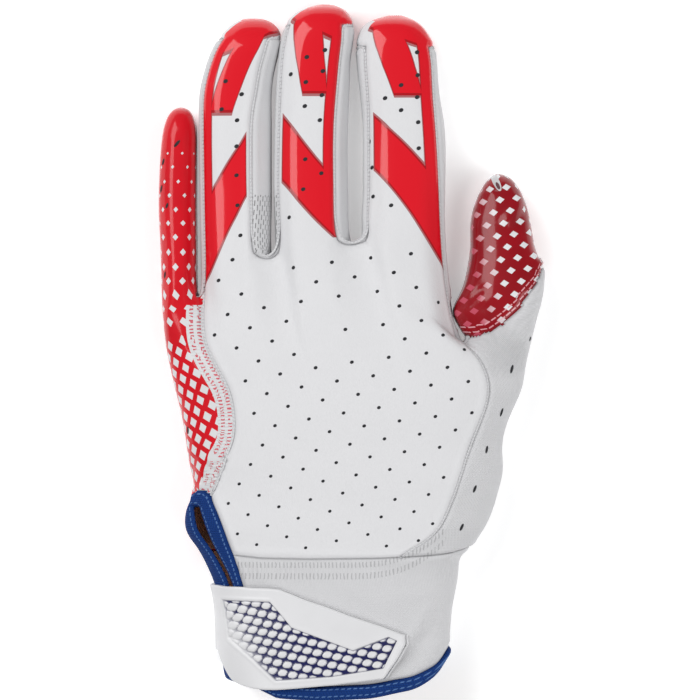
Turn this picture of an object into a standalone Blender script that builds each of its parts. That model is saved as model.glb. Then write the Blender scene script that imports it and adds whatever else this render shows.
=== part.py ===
"""Left-hand receiver glove, lying palm down and filled out as if by a hand.

Metres, +Z up out of the back of the hand, +Y towards the fingertips, +X towards the thumb.
The cavity's surface is one skin of rings that run round the hand and round each digit. One
Solidify over the whole skin gives the cloth's outer side. The skin is then cut along its grid
lines into panels, and each panel is closed round its edge, half a seam gap in from its
neighbours.
"""
import math
from collections import namedtuple

import bmesh
import bpy
import numpy as np

# Driving sizes

CUFF_LENGTH = 0.0484       # hem to the seam at the foot of the back panel
PALM_LENGTH = 0.1055       # that seam to the web between ring and middle finger
HAND_DEPTH = 0.034         # thickness of the filled wrist, palm to back
LITTLE_WIDTH = 0.0126
RING_WIDTH = 0.0245
MIDDLE_WIDTH = 0.0263
INDEX_WIDTH = 0.0301
THUMB_WIDTH = 0.0300
LITTLE_LENGTH = 0.0637
RING_LENGTH = 0.0875
MIDDLE_LENGTH = 0.0841
INDEX_LENGTH = 0.0889
THUMB_LENGTH = 0.0443
LITTLE_GAP = 0.0011        # clear space between little and ring finger
RING_GAP = 0.0011
MIDDLE_GAP = 0.0036
THUMB_GAP = 0.0016
FINGER_DEPTH = 0.0215      # thickness of a finger at its root
PALM_WALL = 0.0011         # cloth of every sewn panel
SEAM_GAP = 0.0004          # between two panels along their seam
BINDING_WALL = 0.0019      # folded tape along the hem and the slit
STRAP_WALL = 0.0017
STRAP_CLEARANCE = 0.0010   # cuff cloth to the strap's underside, over the proud binding
STRAP_LENGTH = 0.0650      # on the back of the wrist, from the little-finger side to the tip
STRAP_HEIGHT = 0.0350      # along the arm, where the strap is widest
FIELD_DEPTH = 0.0005       # sunken lattice field in the strap

# Shape of a cross-section: a rounded arch over a flatter, rounded palm side

ARCH_POWER = 2.5
PALM_POWER = 4.0
WAIST = 0.44               # height of the widest level, as a share of the thickness
MITRE_LIMIT = 0.3          # keeps a sharp corner of a panel from drawing in too far
PALM_SEAM = 0.80           # how far out a digit's palm seam lies, of its half width
PALM_EDGE = 0.16           # from the hand's outline in to its palm seam, of HAND_DEPTH
PALM_FLAT = 1.12           # lets the rounded palm side run on below its flat, which cuts it off
SIDE_STEPS = 4             # faces down the side of a digit
TIP_ROWS = 3               # rings at a tip where the back meets the palm with no side wall
WEB_ROWS = 2               # rings of the thumb's inner side that belong to the web strip
SIDE_PANELS = ["side_little_ring", "side_ring_middle", "side_middle_index",
               "side_index_thumb"]

# Sections of the digits. along: share of the digit's length from its root. left and right:
# its two sides, as shares of its width from the left side of its root. seam_left and
# seam_right: how far in from those sides the back's edge lies, as shares of the width.
# deep: thickness as a share of FINGER_DEPTH. lift: underside above the rest, same share.

Section = namedtuple("Section", "along left right seam_left seam_right deep lift")

LITTLE_SECTIONS = [
    Section(0.00, 0.00, 1.00, 0.10, 0.10, 0.97, 0.00),
    Section(0.22, -0.03, 0.98, 0.10, 0.10, 0.92, 0.00),
    Section(0.42, -0.08, 0.97, 0.10, 0.10, 0.86, 0.00),
    Section(0.60, -0.07, 0.97, 0.10, 0.10, 0.82, 0.00),
    Section(0.76, -0.03, 0.97, 0.10, 0.10, 0.79, 0.00),
    Section(0.87, 0.04, 0.96, 0.10, 0.10, 0.75, 0.02),
    Section(0.94, 0.15, 0.89, 0.09, 0.09, 0.62, 0.06),
    Section(0.98, 0.30, 0.77, 0.07, 0.07, 0.42, 0.13),
    Section(1.00, 0.53, 0.53, 0.00, 0.00, 0.00, 0.26),
]
RING_SECTIONS = [
    Section(0.00, 0.00, 1.00, 0.05, 0.24, 1.04, 0.00),
    Section(0.20, -0.01, 1.00, 0.05, 0.27, 0.98, 0.00),
    Section(0.36, -0.02, 1.00, 0.05, 0.28, 0.92, 0.00),
    Section(0.50, -0.03, 1.00, 0.05, 0.28, 0.88, 0.00),
    Section(0.61, -0.03, 1.00, 0.05, 0.27, 0.86, 0.00),
    Section(0.70, -0.02, 1.00, 0.05, 0.21, 0.85, 0.00),
    Section(0.79, 0.05, 1.04, 0.05, 0.20, 0.84, 0.00),
    Section(0.87, 0.15, 1.11, 0.05, 0.19, 0.80, 0.02),
    Section(0.92, 0.26, 1.13, 0.05, 0.17, 0.72, 0.05),
    Section(0.96, 0.38, 1.09, 0.05, 0.12, 0.58, 0.09),
    Section(0.99, 0.54, 0.95, 0.04, 0.05, 0.34, 0.16),
    Section(1.00, 0.73, 0.73, 0.00, 0.00, 0.00, 0.28),
]
MIDDLE_SECTIONS = [
    Section(0.00, 0.00, 1.00, 0.05, 0.16, 1.08, 0.00),
    Section(0.19, -0.01, 0.97, 0.05, 0.17, 1.00, 0.00),
    Section(0.36, -0.01, 0.96, 0.05, 0.17, 0.94, 0.00),
    Section(0.52, 0.00, 0.97, 0.05, 0.17, 0.90, 0.00),
    Section(0.67, 0.02, 0.99, 0.05, 0.15, 0.88, 0.00),
    Section(0.77, 0.04, 1.00, 0.05, 0.13, 0.86, 0.00),
    Section(0.85, 0.08, 1.04, 0.05, 0.14, 0.83, 0.01),
    Section(0.91, 0.14, 1.04, 0.05, 0.14, 0.76, 0.04),
    Section(0.95, 0.23, 0.99, 0.05, 0.10, 0.64, 0.08),
    Section(0.98, 0.39, 0.89, 0.04, 0.06, 0.44, 0.13),
    Section(1.00, 0.67, 0.67, 0.00, 0.00, 0.00, 0.27),
]
INDEX_SECTIONS = [
    Section(0.00, -0.01, 1.125, 0.06, 0.03, 1.10, 0.00),
    Section(0.12, 0.005, 1.02, 0.06, 0.04, 1.02, 0.00),
    Section(0.25, 0.02, 0.97, 0.06, 0.04, 0.97, 0.00),
    Section(0.39, 0.02, 0.975, 0.06, 0.07, 0.93, 0.00),
    Section(0.55, 0.02, 0.97, 0.06, 0.10, 0.90, 0.00),
    Section(0.68, -0.01, 0.91, 0.08, 0.07, 0.88, 0.00),
    Section(0.79, -0.045, 0.885, 0.09, 0.06, 0.86, 0.00),
    Section(0.87, -0.055, 0.85, 0.10, 0.06, 0.82, 0.01),
    Section(0.93, -0.015, 0.765, 0.09, 0.06, 0.73, 0.04),
    Section(0.97, 0.09, 0.65, 0.07, 0.05, 0.54, 0.10),
    Section(1.00, 0.40, 0.40, 0.00, 0.00, 0.00, 0.27),
]
THUMB_SECTIONS = [
    Section(0.00, 0.15, 1.065, 0.05, 0.10, 1.12, 0.00),
    Section(0.20, 0.14, 1.01, 0.07, 0.10, 1.08, 0.00),
    Section(0.38, 0.20, 0.96, 0.08, 0.10, 1.02, 0.00),
    Section(0.54, 0.205, 0.925, 0.08, 0.10, 0.95, 0.00),
    Section(0.68, 0.225, 0.885, 0.08, 0.10, 0.89, 0.00),
    Section(0.80, 0.28, 0.83, 0.08, 0.10, 0.82, 0.01),
    Section(0.90, 0.355, 0.755, 0.07, 0.08, 0.70, 0.04),
    Section(0.97, 0.44, 0.66, 0.04, 0.04, 0.46, 0.11),
    Section(1.00, 0.535, 0.535, 0.00, 0.00, 0.00, 0.24),
]

# The digits from the little finger to the thumb. root: its root line above or below the web
# between ring and middle finger, as a share of PALM_LENGTH. rise_left and rise_right: how
# far the line's two ends stand above that, same share. strips: faces across the back.

Digit = namedtuple("Digit", "name width length gap root rise_left rise_right strips sections")

DIGITS = [
    Digit("little", LITTLE_WIDTH, LITTLE_LENGTH, LITTLE_GAP, -0.125, 0.00, 0.00, 4,
          LITTLE_SECTIONS),
    Digit("ring", RING_WIDTH, RING_LENGTH, RING_GAP, -0.06, -0.06, 0.06, 5, RING_SECTIONS),
    Digit("middle", MIDDLE_WIDTH, MIDDLE_LENGTH, MIDDLE_GAP, 0.02, -0.02, 0.02, 5,
          MIDDLE_SECTIONS),
    Digit("index", INDEX_WIDTH, INDEX_LENGTH, THUMB_GAP, -0.06, 0.10, -0.21, 5,
          INDEX_SECTIONS),
    Digit("thumb", THUMB_WIDTH, THUMB_LENGTH, 0.0, -0.16, -0.115, 0.115, 4, THUMB_SECTIONS),
]
SLANT_FADE = 0.55          # share of the digit's length over which its root's slant fades
FADE_POWER = 1.6           # above 1, the slant fades fastest near the root

# Sections of the hand and wrist. drop: below the web, as a share of PALM_LENGTH, and below 1
# of CUFF_LENGTH. The other columns are shares of the hand's breadth from its left side:
# left and right outline, slit_left and slit_right, seam_left and seam_right (the back
# panel's edges). deep and lift are shares of HAND_DEPTH. slant: how much of the root
# line's slant and of the digits' arches is left. tail: how much of the hem's rise shows.

Row = namedtuple(
    "Row", "drop left slit_left slit_right seam_left seam_right right deep lift slant tail")

HAND_ROWS = [
    Row(0.10, 0.005, 0.132, 0.144, 0.199, 1.047, 1.333, 0.74, 0.00, 0.72, 0.00),
    Row(0.19, 0.010, 0.135, 0.147, 0.203, 1.076, 1.312, 0.79, 0.00, 0.46, 0.00),
    Row(0.28, 0.018, 0.148, 0.160, 0.216, 1.109, 1.291, 0.82, 0.00, 0.26, 0.00),
    Row(0.37, 0.033, 0.187, 0.200, 0.253, 1.133, 1.270, 0.84, 0.00, 0.12, 0.00),
    Row(0.45, 0.050, 0.226, 0.239, 0.290, 1.140, 1.256, 0.85, 0.00, 0.04, 0.00),
    Row(0.54, 0.072, 0.243, 0.256, 0.305, 1.116, 1.215, 0.86, 0.00, 0.00, 0.00),
    Row(0.63, 0.088, 0.233, 0.247, 0.293, 1.078, 1.190, 0.86, 0.00, 0.00, 0.00),
    Row(0.71, 0.102, 0.180, 0.194, 0.238, 1.050, 1.192, 0.87, 0.00, 0.00, 0.00),
    Row(0.78, 0.112, 0.122, 0.135, 0.180, 1.026, 1.176, 0.87, 0.00, 0.00, 0.00),
    Row(0.84, 0.096, 0.116, 0.136, 0.195, 1.000, 1.158, 0.87, 0.00, 0.00, 0.00),
    Row(0.91, 0.094, 0.128, 0.160, 0.222, 0.964, 1.132, 0.88, 0.00, 0.00, 0.10),
    Row(0.96, 0.122, 0.160, 0.180, 0.240, 0.900, 1.106, 0.88, 0.01, 0.00, 0.18),
]
CUFF_ROWS = [
    Row(0.00, 0.147, 0.186, 0.200, 0.256, 0.830, 1.081, 0.89, 0.03, 0.00, 0.25),
    Row(0.09, 0.168, 0.210, 0.222, 0.270, 0.815, 1.044, 0.90, 0.06, 0.00, 0.30),
    Row(0.24, 0.196, 0.240, 0.252, 0.290, 0.815, 1.036, 0.91, 0.09, 0.00, 0.40),
    Row(0.42, 0.212, 0.250, 0.262, 0.305, 0.818, 1.024, 0.93, 0.09, 0.00, 0.55),
    Row(0.62, 0.216, 0.252, 0.264, 0.310, 0.822, 1.012, 0.95, 0.09, 0.00, 0.70),
    Row(0.85, 0.226, 0.262, 0.274, 0.318, 0.828, 1.004, 0.98, 0.09, 0.00, 0.90),
    Row(1.00, 0.240, 0.276, 0.288, 0.330, 0.834, 1.000, 1.00, 0.09, 0.00, 1.00),
]
SLIT_TOP_ROW = 8           # first ring of HAND_ROWS where the slit and its tape begin

# The hem rises towards the thumb side. across: share of the wrist's width; rise: share of
# CUFF_LENGTH.

HemPoint = namedtuple("HemPoint", "across rise")

HEM = [
    HemPoint(0.00, 0.06),
    HemPoint(0.20, 0.02),
    HemPoint(0.40, 0.00),
    HemPoint(0.65, 0.02),
    HemPoint(0.84, 0.08),
    HemPoint(0.94, 0.16),
    HemPoint(1.00, 0.30),
]

# The strap from its hidden root on the palm side to its tip. reach: where a station lies,
# from -1 (root) over 0 (the little-finger side) to 1 (tip). low and high: its two edges as
# shares of STRAP_HEIGHT above the hem's lowest point.

StrapStation = namedtuple("StrapStation", "reach low high")

STRAP = [
    StrapStation(-1.00, 0.52, 1.02),
    StrapStation(-0.60, 0.48, 1.08),
    StrapStation(-0.30, 0.48, 1.10),
    StrapStation(-0.15, 0.48, 1.12),
    StrapStation(0.00, 0.48, 1.12),
    StrapStation(0.05, 0.32, 1.12),
    StrapStation(0.08, 0.19, 1.11),
    StrapStation(0.12, 0.15, 1.11),
    StrapStation(0.18, 0.12, 1.11),
    StrapStation(0.24, 0.11, 1.10),
    StrapStation(0.31, 0.11, 1.10),
    StrapStation(0.38, 0.12, 1.09),
    StrapStation(0.50, 0.14, 0.99),
    StrapStation(0.62, 0.16, 0.91),
    StrapStation(0.71, 0.18, 0.84),
    StrapStation(0.80, 0.20, 0.78),
    StrapStation(0.88, 0.22, 0.73),
    StrapStation(0.96, 0.42, 0.67),
    StrapStation(1.00, 0.56, 0.645),
]
# The strap's turn round the side of the wrist, between two reaches. width: how far in from
# the outline it starts, of the wrist's half width. steps: faces round the turn.

StrapTurn = namedtuple("StrapTurn", "top foot width steps")
STRAP_TURN = StrapTurn(0.12, -0.30, 0.16, 10)
STRAP_SPAN = 0.75          # share of the wrist's width that the strap covers
STRAP_FOOT = 0.80          # where it reaches the palm side, of the wrist's half width
STRAP_ROOT = 0.34          # how far its root lies under the wrist from there, same share
STRAP_STRIPS = 6           # faces across its height
LEVEL_STEPS = 4            # rounds in which a cuff point's ring is found

# Sunken field in the strap, an outline with straight edges: reach and height as above

FieldCorner = namedtuple("FieldCorner", "reach height")

FIELD_END = 0.004          # reach by which its cutter stops short of the two end corners
FIELD_MARGIN = 0.010       # reach from the ends within which the cutter has no cross line
CUTTER_DEPTH = 0.0025      # from the field's floor out of the strap

FIELD = [
    FieldCorner(0.07, 0.98),
    FieldCorner(0.32, 0.97),
    FieldCorner(0.42, 0.72),
    FieldCorner(0.735, 0.50),
    FieldCorner(0.92, 0.63),
    FieldCorner(0.965, 0.59),
    FieldCorner(0.89, 0.32),
    FieldCorner(0.62, 0.24),
    FieldCorner(0.33, 0.20),
    FieldCorner(0.22, 0.40),
    FieldCorner(0.09, 0.60),
]

# Finishes: linear base colour, roughness

Finish = namedtuple("Finish", "colour roughness")

FINISHES = {
    "back_panel": Finish((0.76, 0.76, 0.78), 0.65),
    "palm_panel": Finish((0.60, 0.01, 0.03), 0.30),
    "thumb_shell": Finish((0.40, 0.0, 0.01), 0.30),
    "thumb_gusset": Finish((0.62, 0.62, 0.64), 0.80),
    "side_little_ring": Finish((0.66, 0.66, 0.67), 0.75),
    "side_ring_middle": Finish((0.66, 0.66, 0.67), 0.75),
    "side_middle_index": Finish((0.66, 0.66, 0.67), 0.75),
    "side_index_thumb": Finish((0.66, 0.66, 0.67), 0.75),
    "cuff": Finish((0.70, 0.70, 0.71), 0.80),
    "edge_binding": Finish((0.01, 0.05, 0.26), 0.75),
    "strap": Finish((0.80, 0.80, 0.81), 0.40),
}


def blend(a, b, share):
    """Straight mix of two values or arrays."""
    return a * (1.0 - share) + b * share


def smooth_read(rows, column, at):
    """Value of a named column where the first column equals `at`, on a smooth curve
    through the rows. Its slope at a row is the mean of the slopes beside it."""
    knots = np.array([row[0] for row in rows])
    values = np.array([getattr(row, column) for row in rows])
    slopes = np.gradient(values, knots)
    at = np.clip(at, knots[0], knots[-1])
    i = np.clip(np.searchsorted(knots, at, side="right") - 1, 0, len(knots) - 2)
    span = knots[i + 1] - knots[i]
    t = (at - knots[i]) / span
    return ((2 * t**3 - 3 * t**2 + 1) * values[i] + (t**3 - 2 * t**2 + t) * span * slopes[i]
            + (3 * t**2 - 2 * t**3) * values[i + 1] + (t**3 - t**2) * span * slopes[i + 1])


def root_lefts():
    """Outer left side of each digit's root line, side by side from the little finger."""
    lefts = []
    x = 0.0
    for digit in DIGITS:
        lefts.append(x)
        x += digit.width + digit.gap
    return lefts


def hand_breadth():
    """Breadth over the four knuckles."""
    return root_lefts()[3] + INDEX_WIDTH


def arch(u, low, high):
    """Height of the upper side of a section, at share u of its half width."""
    waist = blend(low, high, WAIST)
    u = np.clip(u, -1.0, 1.0)
    return waist + (high - waist) * (1.0 - np.abs(u) ** ARCH_POWER) ** (1.0 / ARCH_POWER)


def underside(u, low, high):
    """Height of the lower side of a section, flat over its middle."""
    waist = blend(low, high, WAIST)
    u = np.clip(u, -1.0, 1.0)
    drop = (1.0 - np.abs(u) ** PALM_POWER) ** (1.0 / PALM_POWER)
    return np.maximum(low, waist - (waist - low) * drop * PALM_FLAT)


def side_point(angle, low, high):
    """Share of the half width and the height at an angle above (or below) the waist."""
    waist = blend(low, high, WAIST)
    power = ARCH_POWER if angle >= 0 else PALM_POWER
    u = math.cos(angle) ** (2.0 / power)
    if angle >= 0:
        return u, waist + (high - waist) * math.sin(angle) ** (2.0 / power)
    return u, float(underside(u, low, high))


def angle_of(u, power):
    """Angle at which side_point reaches the share u of the half width."""
    return math.acos(min(1.0, max(0.0, u)) ** (power / 2.0))


def section_ring(x_left, x_right, back_x, palm_share, low, high, steps):
    """One closed ring of points (x, z): the back from left to right at back_x, the right
    side downwards, the palm side from right to left at palm_share of its width, and the
    left side upwards."""
    mid = (x_left + x_right) / 2
    half = (x_right - x_left) / 2
    points = [(x, float(arch((x - mid) / half, low, high))) for x in back_x]
    foot = -angle_of(PALM_SEAM, PALM_POWER)
    top = angle_of((back_x[-1] - mid) / half, ARCH_POWER)
    for step in range(1, steps):
        u, z = side_point(blend(top, foot, step / steps), low, high)
        points.append((mid + half * u, z))
    for share in palm_share[::-1]:
        u = blend(-PALM_SEAM, PALM_SEAM, share)
        points.append((mid + half * u, float(underside(u, low, high))))
    top = angle_of((mid - back_x[0]) / half, ARCH_POWER)
    for step in range(1, steps):
        u, z = side_point(blend(foot, top, step / steps), low, high)
        points.append((mid - half * u, z))
    return points


def digit_rings(index):
    """The rings of one digit from root to tip, each a list of points, then the tip."""
    digit = DIGITS[index]
    left_0 = root_lefts()[index]
    shares = np.linspace(0.0, 1.0, digit.strips + 1)
    root_y = digit.root * PALM_LENGTH
    sides = SIDE_STEPS - 1
    across = np.concatenate([shares, np.ones(sides), shares[::-1], np.zeros(sides)])
    rises = blend(digit.rise_left, digit.rise_right, across) * PALM_LENGTH
    rings = []
    for row in digit.sections[:-1]:
        low = PALM_WALL + row.lift * FINGER_DEPTH
        high = (row.lift + row.deep) * FINGER_DEPTH - PALM_WALL
        fade = max(0.0, 1.0 - row.along / SLANT_FADE) ** FADE_POWER
        x_left = left_0 + row.left * digit.width + PALM_WALL
        x_right = left_0 + row.right * digit.width - PALM_WALL
        seam_l = x_left + row.seam_left * digit.width
        seam_r = x_right - row.seam_right * digit.width
        flat = section_ring(x_left, x_right, blend(seam_l, seam_r, shares), shares,
                            low, high, SIDE_STEPS)
        level = root_y + row.along * digit.length
        rings.append([(x, level + fade * rise, z) for (x, z), rise in zip(flat, rises)])
    tip = digit.sections[-1]
    tip_point = (left_0 + tip.left * digit.width,
                 root_y + digit.length - PALM_WALL,
                 (tip.lift + tip.deep / 2) * FINGER_DEPTH)
    return rings, tip_point


def hem_rise(across):
    """Height of the hem over its lowest point, at a share of the wrist's width."""
    return np.interp(across, [p.across for p in HEM], [p.rise for p in HEM])


def ring_layout():
    """For each of the hand ring's points: digit index and its place in that digit's ring."""
    layout = []
    for index, digit in enumerate(DIGITS):
        layout += [(index, k) for k in range(digit.strips + 1)]
    last = len(DIGITS) - 1
    strips = DIGITS[last].strips
    layout += [(last, strips + s) for s in range(1, SIDE_STEPS)]
    for index in range(last, -1, -1):
        strips = DIGITS[index].strips
        layout += [(index, strips + SIDE_STEPS + k) for k in range(strips + 1)]
    strips = DIGITS[0].strips
    layout += [(0, 2 * strips + SIDE_STEPS + s) for s in range(1, SIDE_STEPS)]
    return layout


def arc_points(start, stop, count, low, high):
    """Points (u, z) at even angles from share `start` on the back down to the palm seam."""
    top = angle_of(start, ARCH_POWER)
    foot = -angle_of(stop, PALM_POWER)
    return [side_point(blend(top, foot, i / count), low, high) for i in range(count + 1)]


def hand_ring(row, base, length):
    """One ring of the hand or cuff. base: the root ring's points; length: of this part."""
    breadth = hand_breadth()
    x_left = row.left * breadth + PALM_WALL
    x_right = row.right * breadth - PALM_WALL
    mid = (x_left + x_right) / 2
    half = (x_right - x_left) / 2
    low = PALM_WALL + row.lift * HAND_DEPTH
    high = row.deep * HAND_DEPTH - PALM_WALL
    little, thumb = DIGITS[0].strips, DIGITS[-1].strips
    backs = sum(d.strips + 1 for d in DIGITS)
    base_x = np.array([p[0] for p in base])
    base_z = np.array([p[2] for p in base])

    palm = base_x[backs + SIDE_STEPS - 1:2 * backs + SIDE_STEPS - 1]
    edge = PALM_EDGE * HAND_DEPTH
    foot_left = 1.0 - blend(edge, palm[-1] - base_x.min(), row.slant) / half
    foot_right = 1.0 - blend(edge, base_x.max() - palm[0], row.slant) / half

    slit_l, slit_r = row.slit_left * breadth, row.slit_right * breadth
    left_arc = arc_points((mid - slit_l) / half, foot_left, little + SIDE_STEPS, low, high)
    web = base_x[backs - thumb - 1] - base_x[backs - thumb - 2]
    gusset_x = row.seam_right * breadth + web
    right_arc = arc_points((gusset_x - mid) / half, foot_right, thumb + SIDE_STEPS, low, high)

    first, last = little + 1, backs - thumb - 2
    share = (base_x[first:last + 1] - base_x[first]) / (base_x[last] - base_x[first])
    inner = (share[1:] - share[1]) / (1.0 - share[1])
    tape_x = row.seam_left * breadth
    middle = [slit_r] + list(blend(tape_x, row.seam_right * breadth, inner))

    points = [(mid - half * u, z) for u, z in left_arc[little::-1]]
    points += [(x, float(arch((x - mid) / half, low, high))) for x in middle]
    points += [(mid + half * u, z) for u, z in right_arc]
    palm_share = (palm - palm[-1]) / (palm[0] - palm[-1])
    for s in palm_share[1:]:
        u = blend(-foot_left, foot_right, s)
        points.append((mid + half * u, float(underside(u, low, high))))
    points += [(mid - half * u, z) for u, z in left_arc[-2:little:-1]]

    root_z = low + (base_z - PALM_WALL) * (high - low) / (base_z.max() - PALM_WALL)
    ring = []
    for k, (x, z) in enumerate(points):
        z = blend(z, root_z[k], row.slant)
        across = (x - x_left) / (x_right - x_left)
        y = row.slant * base[k][1] - row.drop * length
        y += row.tail * CUFF_LENGTH * hem_rise(across)
        ring.append((x, y, z))
    return ring


def build_skin():
    """The whole inner skin as one open mesh. Each face carries the number of its panel."""
    vertices = []
    faces = []
    labels = []

    def add(ring):
        start = len(vertices)
        vertices.extend(ring)
        return list(range(start, start + len(ring)))

    def face(corners, panel):
        faces.append(corners)
        labels.append(panel)

    roots = []
    for index, digit in enumerate(DIGITS):
        rings, tip = digit_rings(index)
        levels = [add(ring) for ring in rings]
        roots.append(levels[0])
        tip_id = add([tip])[0]
        count = len(levels[0])
        for j in range(len(levels)):
            for k in range(count):
                panel = digit_panel(index, j, k, len(levels))
                if panel is None:
                    continue
                k1 = (k + 1) % count
                if j + 1 < len(levels):
                    face((levels[j][k], levels[j][k1], levels[j + 1][k1], levels[j + 1][k]),
                         panel)
                else:
                    face((levels[j][k], levels[j][k1], tip_id), panel)

    for index in range(len(DIGITS) - 1):
        left, right = roots[index], roots[index + 1]
        strips = DIGITS[index].strips
        down = [left[strips + s] for s in range(SIDE_STEPS + 1)]
        up = [right[0]] + [right[-s] for s in range(1, SIDE_STEPS + 1)]
        for s in range(SIDE_STEPS):
            face((down[s], up[s], up[s + 1], down[s + 1]), SIDE_PANELS[index])

    layout = ring_layout()
    ring_ids = [[roots[d][k] for d, k in layout]]
    base = [vertices[i] for i in ring_ids[0]]
    for row in HAND_ROWS:
        ring_ids.append(add(hand_ring(row, base, PALM_LENGTH)))
    for row in CUFF_ROWS:
        ring = hand_ring(row, base, CUFF_LENGTH)
        ring_ids.append(add([(x, y - PALM_LENGTH, z) for x, y, z in ring]))
    for j in range(len(ring_ids) - 1):
        for k in range(len(layout)):
            panel = hand_panel(j, k, len(ring_ids), len(layout))
            if panel is not None:
                k1 = (k + 1) % len(layout)
                face((ring_ids[j][k], ring_ids[j + 1][k], ring_ids[j + 1][k1],
                      ring_ids[j][k1]), panel)
    return vertices, faces, labels


def digit_panel(index, j, k, levels):
    """Panel of face k in ring j of a digit."""
    strips = DIGITS[index].strips
    back, palm = {
        "little": ("palm_panel", "palm_panel"),
        "thumb": ("thumb_shell", "thumb_shell"),
    }.get(DIGITS[index].name, ("back_panel", "palm_panel"))
    if k < strips:
        return back
    if strips + SIDE_STEPS <= k < 2 * strips + SIDE_STEPS:
        return palm
    on_right = k < strips + SIDE_STEPS
    step = k - strips if on_right else 2 * (strips + SIDE_STEPS) - 1 - k
    if j >= levels - TIP_ROWS:
        return back if step < SIDE_STEPS // 2 else palm
    if DIGITS[index].name == "thumb":
        return SIDE_PANELS[-1] if not on_right and j < WEB_ROWS else back
    if DIGITS[index].name == "little" and not on_right:
        return palm
    return SIDE_PANELS[index] if on_right else SIDE_PANELS[index - 1]


def hand_panel(j, k, rings, count):
    """Panel of face k between rings j and j + 1 of the hand and cuff; None is the slit."""
    little, thumb = DIGITS[0].strips, DIGITS[-1].strips
    backs = sum(d.strips + 1 for d in DIGITS)
    slit = little
    gusset = backs - thumb - 2
    palm_start = backs + SIDE_STEPS - 1
    if j >= rings - 2:
        return None if k == slit else "edge_binding"
    if j >= SLIT_TOP_ROW and abs(k - slit) <= 1:
        if k == slit and j > SLIT_TOP_ROW:
            return None
        return "edge_binding"
    if j > len(HAND_ROWS):
        return "cuff"
    if slit < k < gusset:
        return "back_panel"
    if gusset <= k < palm_start + thumb // 2:
        return "thumb_gusset"
    return "palm_panel"


def material(name):
    """Principled material of one piece."""
    finish = FINISHES[name]
    made = bpy.data.materials.new(name)
    made.use_nodes = True
    shader = made.node_tree.nodes["Principled BSDF"]
    shader.inputs["Base Color"].default_value = (*finish.colour, 1.0)
    shader.inputs["Roughness"].default_value = finish.roughness
    shader.inputs["Metallic"].default_value = 0.0
    made.diffuse_color = (*finish.colour, 1.0)
    return made


def new_object(name, mesh, collection):
    """Object of a mesh with its own material, in a collection."""
    piece = bpy.data.objects.new(name, mesh)
    piece.data.materials.append(material(name))
    collection.objects.link(piece)
    return piece


def wall_skins(skin, thickness, offset):
    """Both sides of a wall over the whole skin, from one Solidify, so that neighbouring
    panels share the same directions through the wall all along their seam."""
    vertices, faces, _ = skin
    mesh = bpy.data.meshes.new("skin")
    mesh.from_pydata(vertices, [], faces)
    sheet = bpy.data.objects.new("skin", mesh)
    bpy.context.scene.collection.objects.link(sheet)
    wall = sheet.modifiers.new("Wall", "SOLIDIFY")
    wall.thickness = thickness
    wall.offset = offset
    graph = bpy.context.evaluated_depsgraph_get()
    solid = sheet.evaluated_get(graph).data
    points = np.empty(len(solid.vertices) * 3)
    solid.vertices.foreach_get("co", points)
    points = points.reshape(-1, 3)
    count = len(vertices)
    bpy.data.objects.remove(sheet, do_unlink=True)
    bpy.data.meshes.remove(mesh)
    return points[count:2 * count].copy(), points[:count].copy()


def edges_of(faces):
    """Directed edges of faces, each with its face."""
    return {(f[i], f[(i + 1) % len(f)]): f for f in faces for i in range(len(f))}


def seam_shift(points, faces, every_edge):
    """How far each vertex on a seam is drawn into its own panel: half the seam gap away
    from each of its seam edges, mitred at corners."""
    own = edges_of(faces)
    pulls = {}
    for (a, b), face in own.items():
        if (b, a) in own or (b, a) not in every_edge:
            continue
        along = points[b] - points[a]
        corners = points[list(face)]
        normal = np.cross(corners[1] - corners[0], corners[2] - corners[0])
        inward = np.cross(normal, along)
        inward /= np.linalg.norm(inward)
        pulls.setdefault(a, []).append(inward)
        pulls.setdefault(b, []).append(inward)
    shift = {}
    for vertex, pull in pulls.items():
        mean = np.mean(pull, axis=0)
        shift[vertex] = SEAM_GAP / 2 * mean / max(float(mean @ mean), MITRE_LIMIT)
    return shift


def cut_panel(name, skin, walls, collection):
    """One panel of the skin: its faces on both sides of the wall, drawn in along its
    seams, joined round their edge."""
    vertices, all_faces, labels = skin
    inner, outer = walls
    faces = [f for f, label in zip(all_faces, labels) if label == name]
    shift = seam_shift(np.array(vertices), faces, edges_of(all_faces))
    bm = bmesh.new()
    inside, outside = {}, {}
    for vertex in sorted({v for f in faces for v in f}):
        move = shift.get(vertex, np.zeros(3))
        inside[vertex] = bm.verts.new(inner[vertex] + move)
        outside[vertex] = bm.verts.new(outer[vertex] + move)
    for f in faces:
        bm.faces.new([outside[v] for v in f]).smooth = True
        bm.faces.new([inside[v] for v in f[::-1]]).smooth = True
    own = edges_of(faces)
    for a, b in own:
        if (b, a) in own:
            continue
        near, far = (outside[a], inside[b]) if a < b else (inside[a], outside[b])
        bm.faces.new((outside[b], outside[a], inside[b] if a < b else inside[a]))
        bm.faces.new((near, inside[a], inside[b]) if a < b else (far, near, inside[b]))
    mesh = bpy.data.meshes.new(name)
    bm.to_mesh(mesh)
    bm.free()
    return new_object(name, mesh, collection)


def wrist_section(y, across):
    """Outline of the cuff's cloth at a level above the hem's lowest point, where its
    rings have risen as the hem does: left, right, underside and back."""
    drop = 1.0 - y / CUFF_LENGTH
    for _ in range(LEVEL_STEPS):
        tail = smooth_read(CUFF_ROWS, "tail", np.clip(drop, 0.0, 1.0))
        drop = 1.0 - y / CUFF_LENGTH + tail * hem_rise(across)
    drop = np.clip(drop, 0.0, 1.0)
    breadth = hand_breadth()
    left = smooth_read(CUFF_ROWS, "left", drop) * breadth
    right = smooth_read(CUFF_ROWS, "right", drop) * breadth
    low = smooth_read(CUFF_ROWS, "lift", drop) * HAND_DEPTH
    high = smooth_read(CUFF_ROWS, "deep", drop) * HAND_DEPTH
    return left, right, low, high


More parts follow.
